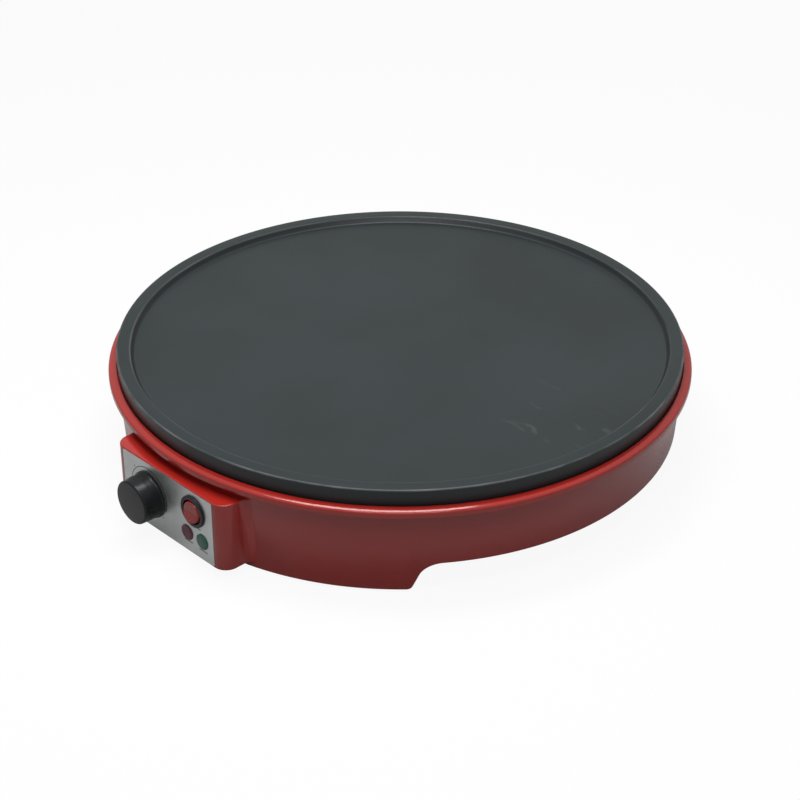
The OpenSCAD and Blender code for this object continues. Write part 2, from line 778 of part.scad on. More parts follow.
module rubber_feet() {
    color([0.08, 0.08, 0.08]) at_feet() rotate_extrude() polygon([
        [0, 0], [foot_d / 2 - 1, 0], [foot_d / 2, 1], [foot_d / 2, foot_t],
        [stem_d / 2, foot_t], [stem_d / 2, foot_t + 3], [stem_d / 2 + 1, foot_t + 3.4],
        [stem_d / 2 - 1, foot_t + 6], [0, foot_t + 6]
    ]);
}

// ---- Control panel ----

module panel_outline(grow) {
    w = panel_w / 2 + grow;
    h = panel_h / 2 + grow;
    r = panel_r + grow;
    polygon(concat(
        arc(w - r, h - r, r, 0, 90, 4), arc(r - w, h - r, r, 90, 180, 4),
        arc(r - w, r - h, r, 180, 270, 4), arc(w - r, r - h, r, 270, 360, 4)
    ));
}

module control_panel() {
    color([0.7, 0.71, 0.71]) difference() {
        on_panel(0, z_panel) translate([0, 0, -recess]) linear_extrude(panel_t) panel_outline(0);
        on_panel(knob_x, knob_z) post(neck_r + 0.3, out_wall, 1);
        on_panel(switch_x, switch_z) post(switch_d / 2 + 0.1, out_wall, 1);
        for (s = [-1, 1]) on_panel(switch_x + s * lamp_pitch / 2, lamp_z) post(lamp_d / 2 + 0.1, out_wall, 1);
    }
}

// ---- Thermostat and knob ----

module thermostat_body() {
    color([0.85, 0.84, 0.8]) on_panel(knob_x, knob_z) difference() {
        union() {
            translate([-thermo_w / 2 - 2, -8, out_wall - thermo_plate_t]) cube([thermo_w + 4, 16, thermo_plate_t]);
            translate([-thermo_w / 2, -thermo_h / 2, out_wall - thermo_plate_t - thermo_deep])
                cube([thermo_w, thermo_h, thermo_deep + eps]);
            post(neck_r, out_wall - eps, 0);
        }
        post(shaft_r + shaft_clear, out_wall - 16, 1);
        for (s = [-1, 1]) translate([s * thermo_pitch / 2, 0, 0]) post(hole_r4, out_wall - 5, out_wall + 1);
    }
}

module thermostat_screws() {
    color("silver") on_panel(knob_x, knob_z) for (s = [-1, 1]) translate([s * thermo_pitch / 2, 0, 0]) {
        post(screw4_r, out_wall - 4, -recess - 2);
        translate([0, 0, -recess - 2]) cylinder(r1 = screw4_r, r2 = screw4_r * 2 - 0.1, h = 1.9);
    }
}

module thermostat_terminals() {
    color("gold") on_panel(knob_x, knob_z) for (x = [-9, 0])
        translate([x, 1 - thermo_h / 3, out_wall - thermo_plate_t - thermo_deep]) tab();
}

// Cross-section of the shaft's flatted end, grown by gap
module d_section(gap) {
    difference() {
        circle(r = shaft_r + gap);
        translate([-shaft_d, shaft_r - shaft_flat + gap]) square([2 * shaft_d, shaft_d]);
    }
}

module thermostat_shaft() {
    color("silver") on_panel(knob_x, knob_z) union() {
        post(shaft_r, out_wall - 15.5, out_knob);
        translate([0, 0, out_knob - eps]) linear_extrude(knob_h - 5 + eps) d_section(0);
    }
}

module thermostat_knob() {
    foot_r = knob_d / 2;
    face_r = knob_face_d / 2;
    waist_r = knob_waist_d / 2;
    rise = knob_flare_h - 0.5;
    flare = [for (i = [0 : 6]) [(foot_r - waist_r) * (1 - sin(15 * i)), -rise * cos(15 * i)]];
    color([0.1, 0.1, 0.1]) on_panel(knob_x, knob_z) translate([0, 0, out_knob]) difference() {
        rotate_extrude() polygon(concat(
            [[0, 0], [foot_r - 0.4, 0], [foot_r, 0.5]],
            [for (i = [1 : 6]) [waist_r, knob_flare_h] + flare[i]],
            [[waist_r, knob_h / 2], [face_r, knob_h - 1]],
            [for (i = [1 : 5]) quarter(face_r - 1, knob_h - 1, 1, 1, 5)[i]],
            [[0, knob_h]]
        ));
        difference() {
            post(face_r - knob_wall, -1, knob_h - 2.5);
            post(shaft_r + 3, -2, knob_h);
        }
        translate([0, 0, -1]) linear_extrude(knob_h - 4 + 0.1) d_section(0.02);
        translate([-foot_r - 1, -0.5, knob_flare_h]) cube([foot_r - face_r + 1.7, 1, knob_h]);
    }
}

// ---- Rocker switch ----

module switch_housing() {
    color([0.09, 0.09, 0.09]) on_panel(switch_x, switch_z) difference() {
        union() {
            translate([0, 0, out_face]) rotate_extrude() polygon(concat(
                [[0, 0], [bezel_d / 2, 0], [bezel_d / 2, bezel_h - 0.7]],
                [for (i = [1 : 4]) quarter(bezel_d / 2 - 0.7, bezel_h - 0.7, 0.7, 0.7, 4)[i]],
                [[0, bezel_h]]
            ));
            post(switch_d / 2, out_face - switch_deep, out_face + eps);
        }
        post(rocker_well_d / 2, out_face - 9, out_face + bezel_h + 1);
        translate([0, 0, out_pivot]) rotate([0, 90, 0])
            cylinder(r = rocker_pin_d / 2 + rocker_pin_clear, h = switch_d - 0.3, center = true);
        translate([0, 0, out_face - 13]) cylinder(d = 5.2, h = 6);
    }
}

module switch_rocker() {
    edge = rocker_d / 2;
    rise = edge * tan(rocker_dish);
    color([0.6, 0.05, 0.04]) on_panel(switch_x, switch_z) translate([0, 0, out_pivot])
        rotate([-rocker_dish, 0, 0]) union() {
            intersection() {
                cylinder(r = edge, h = 14, center = true);
                rotate([0, 90, 0]) cylinder(r = edge + 0.3, h = rocker_d + 1, center = true);
                rotate([90, 0, 90]) translate([0, 0, -edge - 1]) linear_extrude(rocker_d + 2) polygon([
                    [-edge - 1, -1.5], [-3, -5], [3, -5], [edge + 1, -1.5],
                    [edge + 1, 2.2 + rise * (edge + 1) / edge], [0, 2.2],
                    [-edge - 1, 2.2 + rise * (edge + 1) / edge]
                ]);
            }
            rotate([0, 90, 0]) cylinder(d = rocker_pin_d, h = switch_d - 0.6, center = true);
        }
}

module switch_terminals() {
    color("gold") on_panel(switch_x, switch_z) for (i = [-1 : 1])
        translate([0, i * switch_d / 4, out_face - switch_deep]) tab(4.8);
}

module switch_lamp() {
    color([0.9, 0.5, 0.3, 0.6]) on_panel(switch_x, switch_z) translate([0, 0, out_face - 13]) union() {
        cylinder(d = 5, h = 3.5);
        translate([0, 0, 3.5]) sphere(d = 4.9);
    }
}

// ---- Lamps ----

module at_lamps() {
    for (s = [-1, 1]) on_panel(switch_x + s * lamp_pitch / 2, lamp_z) children();
}

module lamp_lens() {
    difference() {
        union() {
            translate([0, 0, out_face]) rotate_extrude() polygon(concat(
                [[0, 0], [lens_d / 2, 0], [lens_d / 2, lens_h * 0.5]],
                [for (i = [1 : 6]) quarter(0, lens_h * 0.5, lens_d / 2, lens_h * 0.9, 6)[i]]
            ));
            post(lamp_d / 2, out_face - 9, out_face + eps);
        }
        post(lamp_d / 2 - 1.5, out_face - 10, out_face - 1.5);
    }
}

module red_lamp_lens() {
    color([0.45, 0.08, 0.15, 0.8]) on_panel(switch_x - lamp_pitch / 2, lamp_z) lamp_lens();
}

module green_lamp_lens() {
    color([0.1, 0.4, 0.3, 0.8]) on_panel(switch_x + lamp_pitch / 2, lamp_z) lamp_lens();
}

module lamp_sockets() {
    color("ivory") at_lamps() difference() {
        post(lamp_d / 2, out_face - lamp_deep, out_face - 9);
        post(2, out_face - 12, out_face - 8);
    }
}

module lamp_neons() {
    color([0.9, 0.6, 0.4, 0.6]) at_lamps() {
        translate([0, 0, out_face - 12]) cylinder(r = 1.9, h = 7);
        translate([0, 0, out_face - 5]) sphere(r = 1.85);
    }
}

module lamp_retainers() {
    color("silver") at_lamps() difference() {
        post(lamp_d / 2 + 1.4, out_wall - 1.2, out_wall);
        post(lamp_d / 2 + 0.02, out_wall - 2, out_wall + 1);
        translate([0, -0.8, out_wall - 2]) cube([lamp_d, 1.6, 3]);
    }
}

// ---- Cord inlet, terminal block and earth ----

module cord_gland() {
    color([0.06, 0.06, 0.06]) translate([0, 0, gland_z]) rotate([-90, 0, 0]) difference() {
        union() {
            post(gland_d / 2, gland_inside - gland_nut_t - 1, gland_pad + eps);
            translate([0, 0, gland_pad]) rotate_extrude() polygon([[0, 0], [gland_flange_d / 2, 0],
                [gland_flange_d / 2, gland_flange_t - 1], [gland_flange_d / 2 - 1, gland_flange_t], [0, gland_flange_t]]);
        }
        post(gland_bore / 2, gland_inside - gland_nut_t - 2, gland_pad + gland_flange_t + 1);
    }
}

module gland_nut() {
    color([0.06, 0.06, 0.06]) translate([0, gland_inside - gland_nut_t, gland_z]) rotate([-90, 0, 0]) difference() {
        cylinder(r = gland_nut_w / sqrt(3), h = gland_nut_t, $fn = 6);
        post(gland_d / 2 + thread_clear, -1, gland_nut_t + 1);
    }
}

module terminal_block() {
    color("ivory") translate([0, block_y, z_cover_top]) difference() {
        translate([-block[0] / 2, -block[1] / 2, 0]) cube(block);
        for (i = [-1 : 1]) translate([0, i * 8, 0]) {
            translate([0, 0, 8]) rotate([0, 90, 0]) cylinder(r = 1.8, h = block[0] + 1, center = true);
            post(1.75 + thread_clear, 9.5, block[2] + 1);
        }
    }
}

module terminal_screws() {
    color("gold") translate([0, block_y, z_cover_top]) for (i = [-1 : 1]) translate([0, i * 8, 0]) difference() {
        post(1.75, 10, block[2] - 0.5);
        translate([-2, -0.3, block[2] - 1.3]) cube([4, 0.6, 1]);
    }
}

module earth_tag() {
    color("gold") translate([earth_at[0], earth_at[1], z_pan - 1]) difference() {
        union() {
            cylinder(r = 4, h = 1);
            translate([0, -2, 0]) cube([14, 4, 1]);
        }
        post(hole_r4, -1, 2);
    }
}

module earth_nut() {
    color("silver") translate([earth_at[0], earth_at[1], z_pan - 4.2]) difference() {
        cylinder(r = 4, h = 3.2, $fn = 6);
        post(hole_r4, -1, 5);
    }
}

translate([0, shift_y, 0]) {
    cooking_plate();
    heating_element();
    element_insulators();
    element_pins();
    element_clamps();
    clamp_screws();
    heat_reflector();
    reflector_screws();
    plate_spacers();
    plate_screws();
    sensing_bulb();
    capillary_tube();
    bulb_clip();
    thermal_fuse();
    fuse_leads();
    fuse_clip();
    clip_screws();
    base_housing();
    bottom_cover();
    cover_screws();
    rubber_feet();
    control_panel();
    thermostat_body();
    thermostat_screws();
    thermostat_terminals();
    thermostat_shaft();
    thermostat_knob();
    switch_housing();
    switch_rocker();
    switch_terminals();
    switch_lamp();
    red_lamp_lens();
    green_lamp_lens();
    lamp_sockets();
    lamp_neons();
    lamp_retainers();
    cord_gland();
    gland_nut();
    terminal_block();
    terminal_screws();
    earth_tag();
    earth_nut();
}
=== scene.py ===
from math import atan2, cos, degrees, pi, radians, sin, sqrt, tan

import bmesh
import bpy
from mathutils import Matrix, Vector


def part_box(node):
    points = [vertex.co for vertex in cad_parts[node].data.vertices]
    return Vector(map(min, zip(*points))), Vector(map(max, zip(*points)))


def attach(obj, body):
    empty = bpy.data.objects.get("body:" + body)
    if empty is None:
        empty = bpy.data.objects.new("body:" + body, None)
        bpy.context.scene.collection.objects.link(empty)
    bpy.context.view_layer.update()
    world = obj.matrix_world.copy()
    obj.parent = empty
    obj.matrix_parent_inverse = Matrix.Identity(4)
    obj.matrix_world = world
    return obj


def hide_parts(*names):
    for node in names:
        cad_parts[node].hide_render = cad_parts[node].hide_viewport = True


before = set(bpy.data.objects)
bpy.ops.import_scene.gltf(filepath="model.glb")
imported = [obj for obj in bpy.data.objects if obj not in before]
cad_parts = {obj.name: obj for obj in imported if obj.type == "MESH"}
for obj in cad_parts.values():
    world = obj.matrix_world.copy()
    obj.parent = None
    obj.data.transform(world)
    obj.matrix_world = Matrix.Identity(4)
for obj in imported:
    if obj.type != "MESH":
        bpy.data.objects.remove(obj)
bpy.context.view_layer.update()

MM = 0.001

plate_low, plate_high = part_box("cooking_plate")
PLATE_AXIS = Vector((0, (plate_low.y + plate_high.y) / 2, 0))


def low(node):
    """Lowest corner of a node, in millimetres about the plate's axis."""
    return (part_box(node)[0] - PLATE_AXIS) / MM


def high(node):
    """Highest corner of a node, in millimetres about the plate's axis."""
    return (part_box(node)[1] - PLATE_AXIS) / MM


def middle(node):
    """Centre of a node's box, in millimetres about the plate's axis."""
    return (low(node) + high(node)) / 2


# ---- Sizes in millimetres ----

# Plate
PLATE_R = high("cooking_plate").x
PLATE_TOP = high("cooking_plate").z
STEP_DROP = 4.5
SURFACE_Z = PLATE_TOP - STEP_DROP
RING_W = 9.5
STEP_RUN = 3
SIDE_H = 14
SIDE_Z = PLATE_TOP - SIDE_H
SIDE_DRAFT = 0.6
PLATE_EDGE_R = 1.1
SPIGOT_INSET = 2.6
SPIGOT_H = 4
SPIGOT_T = 6.5
WEB_T = 5
WEB_Z = SURFACE_Z - WEB_T
ROOT_Z = WEB_Z + 0.05

# Element tracks and bosses under the plate
TRACK_RADII = (150, 90)
TRACK_START = -37
TRACK_SWEEP = 264
TRACK_W = 14
ELEMENT_R = 4
ELEMENT_Z = high("heating_element").z - ELEMENT_R
GROOVE_R = 4.1
BOSS_CIRCLE_R = 120
SPACER_BOSS_R = 8
CLAMP_BOSS_R = 6
CLIP_BOSS_R = 4.5
LARGE_SCREW_BORE_R = 2.55
SMALL_SCREW_BORE_R = 2.05

# Rim and wall
SKIRT_Z = low("base_housing").z
RIM_R = high("base_housing").x
RIM_TOP = high("base_housing").z
RIM_W = 6
RIM_IR = RIM_R - RIM_W
LIP_Z = RIM_TOP - 4.8
SHOULDER_RUN = 2.9
SHOULDER_Z = RIM_TOP + 0.15
SHOULDER_LEAN = tan(radians(21))
CREST_LEAN = tan(radians(10))
CREST_Z = SHOULDER_Z + (RIM_W - SHOULDER_RUN) * CREST_LEAN
HEM_W = 2.5
HEM_DROP = 0.7
HEM_CORNER = 0.8
WALL_TOP_R = RIM_R - 5.8
WALL_TOP_Z = LIP_Z - 2
WALL_DRAFT = tan(radians(3.75))
WALL_T = 2.8

# Seat, ledge and posts inside the wall
SEAT_Z = SIDE_Z - 0.7
LEDGE_Z = high("heat_reflector").z - 1
LEDGE_T = 3
LEDGE_W = 22
POST_R = 5.5
POST_INSET = 10
COVER_TOP = high("bottom_cover").z

# Arches in the skirt
ARCH_H = 20.6
ARCH_HALF = 130.7
ARCH_SLOPE = 7
ARCH_TOP_R = 13
ARCH_FOOT_R = 3

# Control box and panel
BOX_HALF = 56.6
BOX_FRONT = low("base_housing").y
BOX_Z = SKIRT_Z + 5.2
BOX_TOP = BOX_Z + 50.6
BOX_CORNER_R = 10
BOX_BLEND_R = 7
BOX_EDGE_R = 0.8
BOX_FOOT_EDGE_R = 0.6
PANEL_SIZE = high("control_panel") - low("control_panel")
PANEL_FACE = low("control_panel").y
PANEL_BACK = high("control_panel").y
PANEL_GAP = 0.15
PANEL_CORNER_R = 1.2
NECK_HOLE_R = 5.05
THERMOSTAT_HOLE_R = 2.3
THERMOSTAT_HOLE_X = 14
BODY_FIT = 0.1
DRILL_DEEP = 9
DRILL_OUT = 3

# Knob
KNOB = middle("thermostat_knob")
KNOB_R = (high("thermostat_knob").x - low("thermostat_knob").x) / 2
KNOB_BACK = high("thermostat_knob").y
KNOB_H = high("thermostat_knob").y - low("thermostat_knob").y
KNOB_FACE_R = 15.5
KNOB_WAIST_R = 15.9
KNOB_FLARE_H = 2.5
KNOB_LIP_H = 0.5
KNOB_TOP_T = 2.5
KNOB_WALL_AT_TOP = 2
KNOB_WALL_AT_FOOT = 1.8
KNOB_BORE_R = 3.02
KNOB_BORE_END = 3.9
HUB_WALL = 3

# Switch
SWITCH = middle("switch_housing")
SWITCH_BODY_R = 9.9
SWITCH_BACK = high("switch_housing").y
BEZEL_R = 11.5
BEZEL_H = 1.8
WELL_R = 8.8
WELL_DEEP = 9
SOCKET_R = 2.6
SOCKET_DEEP = 13
ROCKER_R = 8.2
ROCKER_TOP = 2.1
ROCKER_SHOULDER_W = 1.05
ROCKER_SHOULDER_H = 1.41
ROCKER_DRAFT = 0.35
ROCKER_SIDE_Z = (-1, -2)
ROCKER_KEEL_R = 3.4
ROCKER_KEEL_Z = -5
ROCKER_DISH = 8
ROCKER_PIVOT = PANEL_FACE - 0.3
ROCKER_SWING_R = 8.46
VALLEY_SOFTNESS = 0.8
PIN_R = 1.0
PIN_BORE_R = 1.05

# Lamps
LENS_R = 5.7
LENS_EDGE_H = 0.45
LENS_DOME_H = 0.72
LENS_BACK = high("red_lamp_lens").y
LAMP_BARREL_R = 4.9
LAMP_BARREL_T = 1.5

# Cord inlet
GLAND_Z = middle("cord_gland").z
GLAND_FACE = high("cord_gland").y
GLAND_BACK = low("cord_gland").y
GLAND_FLANGE_R = 11
GLAND_FLANGE_T = 2.5
GLAND_BORE_R = 4.25
GLAND_BARREL_R = 8


def wall_r(z):
    """Outer radius of the leaning wall at height z."""
    return WALL_TOP_R - (WALL_TOP_Z - z) * WALL_DRAFT


# ---- Shader helpers ----

# A Mix node's colour sockets, by number because their names repeat
MIX_FIRST = 6
MIX_SECOND = 7
MIX_RESULT = 2


def put(tree, socket, value):
    """Gives a socket a plain value, or links another socket to it."""
    if isinstance(value, (int, float, tuple)):
        socket.default_value = value
    else:
        tree.links.new(value, socket)


def joined(tree, operation, first, second=0):
    """The result of a Math node on two values."""
    node = tree.nodes.new("ShaderNodeMath")
    node.operation = operation
    put(tree, node.inputs[0], first)
    put(tree, node.inputs[1], second)
    return node.outputs[0]


def mapped(tree, value, from_low, from_high, to_low, to_high, curve="LINEAR"):
    """A value carried from one range to another."""
    node = tree.nodes.new("ShaderNodeMapRange")
    node.interpolation_type = curve
    put(tree, node.inputs["Value"], value)
    put(tree, node.inputs["From Min"], from_low)
    put(tree, node.inputs["From Max"], from_high)
    put(tree, node.inputs["To Min"], to_low)
    put(tree, node.inputs["To Max"], to_high)
    return node.outputs["Result"]


def tinted(tree, share, first, second):
    """Two colours mixed by a share of the second."""
    node = tree.nodes.new("ShaderNodeMix")
    node.data_type = "RGBA"
    put(tree, node.inputs["Factor"], share)
    put(tree, node.inputs[MIX_FIRST], first)
    put(tree, node.inputs[MIX_SECOND], second)
    return node.outputs[MIX_RESULT]


def mixed(tree, share, first, second):
    """Two shaders mixed by a share of the second."""
    node = tree.nodes.new("ShaderNodeMixShader")
    tree.links.new(share, node.inputs["Fac"])
    tree.links.new(first.outputs[0], node.inputs[1])
    tree.links.new(second.outputs[0], node.inputs[2])
    return node


def seen_directly(tree):
    """1 on camera and transmission rays, else 0; and 1 on glossy rays, else 0."""
    path = tree.nodes.new("ShaderNodeLightPath")
    direct = joined(tree, "MAXIMUM", path.outputs["Is Camera Ray"], path.outputs["Is Transmission Ray"])
    return direct, path.outputs["Is Glossy Ray"]


# ---- Camera, floor and light ----

CAMERA_AT = (0.8944, -0.8447, 0.7744)
CAMERA_LOOKS = (-0.6186, 0.5914, -0.5173)


def set_up_camera():
    """A long lens from above, over the panel's corner."""
    camera = bpy.data.cameras.new("camera")
    camera.lens = 90
    camera.sensor_width = 36
    camera.clip_end = 50
    holder = bpy.data.objects.new("camera", camera)
    holder.location = CAMERA_AT
    holder.rotation_euler = Vector(CAMERA_LOOKS).to_track_quat("-Z", "Y").to_euler()
    bpy.context.scene.collection.objects.link(holder)
    bpy.context.scene.camera = holder


def set_up_world():
    """A dim even fill that lights the object, and a white surround that is seen and reflected."""
    world = bpy.data.worlds.new("studio")
    bpy.context.scene.world = world
    world.use_nodes = True
    tree = world.node_tree
    tree.nodes.clear()
    fill = tree.nodes.new("ShaderNodeBackground")
    fill.inputs["Color"].default_value = (0.96, 0.98, 1.0, 1)
    fill.inputs["Strength"].default_value = 0.26
    white = tree.nodes.new("ShaderNodeBackground")
    white.inputs["Color"].default_value = (1, 1, 1, 1)
    where = tree.nodes.new("ShaderNodeTexCoord")
    parts = tree.nodes.new("ShaderNodeSeparateXYZ")
    tree.links.new(where.outputs["Generated"], parts.inputs[0])
    overhead = mapped(tree, parts.outputs["Z"], 0.30, 0.85, 0.40, 0.85)
    direct, glossy = seen_directly(tree)
    share = joined(tree, "MAXIMUM", direct, joined(tree, "MULTIPLY", glossy, overhead))
    out = tree.nodes.new("ShaderNodeOutputWorld")
    tree.links.new(mixed(tree, share, fill, white).outputs[0], out.inputs["Surface"])


def floor_finish():
    """White where it is looked at, pale and shadowed in reflections, and a quiet grey for bounced light."""
    material = bpy.data.materials.new("studio_floor")
    material.use_nodes = True
    tree = material.node_tree
    tree.nodes.clear()
    matt = tree.nodes.new("ShaderNodeBsdfDiffuse")
    matt.inputs["Color"].default_value = (0.16, 0.16, 0.16, 1)
    pale = tree.nodes.new("ShaderNodeBsdfDiffuse")
    pale.inputs["Color"].default_value = (0.78, 0.78, 0.78, 1)
    white = tree.nodes.new("ShaderNodeEmission")
    white.inputs["Strength"].default_value = 1.03
    direct, glossy = seen_directly(tree)
    lit = mixed(tree, joined(tree, "MAXIMUM", glossy, direct), matt, pale)
    glow_seen = joined(tree, "MULTIPLY", direct, 0.9)
    glow_reflected = joined(tree, "MULTIPLY", glossy, 0.12)
    surface = mixed(tree, joined(tree, "MAXIMUM", glow_seen, glow_reflected), lit, white)
    out = tree.nodes.new("ShaderNodeOutputMaterial")
    tree.links.new(surface.outputs[0], out.inputs["Surface"])
    return material


def lay_floor():
    """One large square at table height."""
    bm = bmesh.new()
    bmesh.ops.create_grid(bm, x_segments=1, y_segments=1, size=4)
    mesh = bpy.data.meshes.new("floor")
    bm.to_mesh(mesh)
    bm.free()
    mesh.materials.append(floor_finish())
    floor = bpy.data.objects.new("floor", mesh)
    bpy.context.scene.collection.objects.link(floor)


def hang_softbox(name, at, aim, size, power):
    """A rectangular light at a place, facing another place."""
    light = bpy.data.lights.new(name, "AREA")
    light.shape = "RECTANGLE"
    light.size = size[0]
    light.size_y = size[1]
    light.energy = power
    holder = bpy.data.objects.new(name, light)
    holder.location = at
    holder.rotation_euler = (Vector(aim) - Vector(at)).to_track_quat("-Z", "Y").to_euler()
    bpy.context.scene.collection.objects.link(holder)


bpy.context.scene.view_settings.view_transform = "Standard"
set_up_camera()
set_up_world()
lay_floor()
hang_softbox("softbox_over", (-0.035, -0.055, 0.84), (-0.02, -0.03, 0.06), (0.26, 0.52), 4.4)
hang_softbox("softbox_front", (0.48, -0.46, 1.20), (0, 0, 0.06), (0.62, 0.30), 3.4)

# ---- Shader groups ----

# Most of a noise texture's values lie between these two
NOISE_LOW = 0.35
NOISE_HIGH = 0.65


def new_group(name, inputs, output):
    """A node group with its inputs and one output; returns its tree and its two end nodes."""
    tree = bpy.data.node_groups.new(name, "ShaderNodeTree")
    for label, kind, value in inputs:
        socket = tree.interface.new_socket(label, in_out="INPUT", socket_type=kind)
        socket.default_value = value
    tree.interface.new_socket(output[0], in_out="OUTPUT", socket_type=output[1])
    return tree, tree.nodes.new("NodeGroupInput"), tree.nodes.new("NodeGroupOutput")


def noise_in(tree, scale, detail):
    """Noise on Object coordinates."""
    where = tree.nodes.new("ShaderNodeTexCoord")
    noise = tree.nodes.new("ShaderNodeTexNoise")
    noise.inputs["Detail"].default_value = detail
    tree.links.new(where.outputs["Object"], noise.inputs["Vector"])
    tree.links.new(scale, noise.inputs["Scale"])
    return noise.outputs["Fac"]


def make_patchy():
    """A value that drifts between two limits, for gloss that isn't even."""
    tree, given, out = new_group("patchy", [
        ("Scale", "NodeSocketFloat", 20),
        ("Least", "NodeSocketFloat", 0.3),
        ("Most", "NodeSocketFloat", 0.5),
    ], ("Value", "NodeSocketFloat"))
    noise = noise_in(tree, given.outputs["Scale"], 4)
    value = mapped(tree, noise, NOISE_LOW, NOISE_HIGH, given.outputs["Least"], given.outputs["Most"])
    tree.links.new(value, out.inputs["Value"])
    return tree


def make_mottle():
    """Two close tones in soft spots, for a colour that isn't flat."""
    tree, given, out = new_group("mottle", [
        ("Scale", "NodeSocketFloat", 30),
        ("Tone", "NodeSocketColor", (0.5, 0.5, 0.5, 1)),
        ("Other Tone", "NodeSocketColor", (0.4, 0.4, 0.4, 1)),
    ], ("Color", "NodeSocketColor"))
    share = mapped(tree, noise_in(tree, given.outputs["Scale"], 5), NOISE_LOW, NOISE_HIGH, 0, 1)
    colour = tinted(tree, share, given.outputs["Tone"], given.outputs["Other Tone"])
    tree.links.new(colour, out.inputs["Color"])
    return tree


def make_grain():
    """Height of a fine even grain with a slow wave under it."""
    tree, given, out = new_group("grain", [
        ("Scale", "NodeSocketFloat", 900),
        ("Wave Scale", "NodeSocketFloat", 40),
        ("Wave Share", "NodeSocketFloat", 0.2),
    ], ("Height", "NodeSocketFloat"))
    blend = tree.nodes.new("ShaderNodeMix")
    tree.links.new(given.outputs["Wave Share"], blend.inputs["Factor"])
    tree.links.new(noise_in(tree, given.outputs["Scale"], 2), blend.inputs["A"])
    tree.links.new(noise_in(tree, given.outputs["Wave Scale"], 1), blend.inputs["B"])
    tree.links.new(blend.outputs["Result"], out.inputs["Height"])
    return tree


def from_centre(tree, given):
    """Object coordinates measured from the group's centre input."""
    where = tree.nodes.new("ShaderNodeTexCoord")
    offset = tree.nodes.new("ShaderNodeVectorMath")
    offset.operation = "SUBTRACT"
    tree.links.new(where.outputs["Object"], offset.inputs[0])
    tree.links.new(given.outputs["Centre"], offset.inputs[1])
    return offset.outputs["Vector"]


def fading(tree, distance, reach):
    """1 at no distance, falling softly to 0 at the reach."""
    return mapped(tree, distance, 0, reach, 1, 0, "SMOOTHSTEP")


def length_of(tree, first, second):
    """The long side over two sides at right angles."""
    squares = joined(tree, "ADD", joined(tree, "POWER", first, 2), joined(tree, "POWER", second, 2))
    return joined(tree, "SQRT", squares)


def make_edge_rub_and_painted_light():
    """A band about a round edge about the group's centre, in broken lengths; it marks painted shade, painted
    highlights and rubbed coating.
    """
    tree, given, out = new_group("edge_rub_and_painted_light", [
        ("Centre", "NodeSocketVector", (0, 0, 0)),
        ("Edge Radius", "NodeSocketFloat", 0.2),
        ("Reach", "NodeSocketFloat", 0.001),
        ("Scale", "NodeSocketFloat", 60),
        ("Least", "NodeSocketFloat", 0.0),
        ("Most", "NodeSocketFloat", 1.0),
    ], ("Value", "NodeSocketFloat"))
    parts = tree.nodes.new("ShaderNodeSeparateXYZ")
    tree.links.new(from_centre(tree, given), parts.inputs[0])
    radius = length_of(tree, parts.outputs["X"], parts.outputs["Y"])
    beside = joined(tree, "SUBTRACT", radius, given.outputs["Edge Radius"])
    near = fading(tree, length_of(tree, beside, parts.outputs["Z"]), given.outputs["Reach"])
    noise = noise_in(tree, given.outputs["Scale"], 3)
    broken = mapped(tree, noise, NOISE_LOW, NOISE_HIGH, given.outputs["Least"], given.outputs["Most"])
    tree.links.new(joined(tree, "MULTIPLY", near, broken), out.inputs["Value"])
    return tree


def make_scuffs():
    """Faint short scratches in a round patch about the group's centre."""
    tree, given, out = new_group("scuffs", [
        ("Centre", "NodeSocketVector", (0, 0, 0)),
        ("Reach", "NodeSocketFloat", 0.05),
        ("Scale", "NodeSocketFloat", 60),
        ("Turn", "NodeSocketVector", (0, 0, 0)),
        ("Strength", "NodeSocketFloat", 0.3),
    ], ("Value", "NodeSocketFloat"))
    where = from_centre(tree, given)
    distance = tree.nodes.new("ShaderNodeVectorMath")
    distance.operation = "LENGTH"
    tree.links.new(where, distance.inputs[0])
    drawn_out = tree.nodes.new("ShaderNodeMapping")
    drawn_out.inputs["Scale"].default_value = (1, 4, 1)
    tree.links.new(where, drawn_out.inputs["Vector"])
    tree.links.new(given.outputs["Turn"], drawn_out.inputs["Rotation"])
    noise = tree.nodes.new("ShaderNodeTexNoise")
    noise.inputs["Detail"].default_value = 3
    noise.inputs["Distortion"].default_value = 0.6
    tree.links.new(drawn_out.outputs["Vector"], noise.inputs["Vector"])
    tree.links.new(given.outputs["Scale"], noise.inputs["Scale"])
    streaks = mapped(tree, noise.outputs["Fac"], 0.62, 0.72, 0, 1)
    patch = fading(tree, distance.outputs["Value"], given.outputs["Reach"])
    strength = joined(tree, "MULTIPLY", patch, given.outputs["Strength"])
    tree.links.new(joined(tree, "MULTIPLY", streaks, strength), out.inputs["Value"])
    return tree


PATCHY = make_patchy()
MOTTLE = make_mottle()
GRAIN = make_grain()
EDGE_RUB_AND_PAINTED_LIGHT = make_edge_rub_and_painted_light()
SCUFFS = make_scuffs()


def use_group(material, group, **values):
    """Places a group in a material with its own values, and returns its output."""
    node = material.node_tree.nodes.new("ShaderNodeGroup")
    node.node_tree = group
    for label, value in values.items():
        node.inputs[label.replace("_", " ")].default_value = value
    return node.outputs[0]


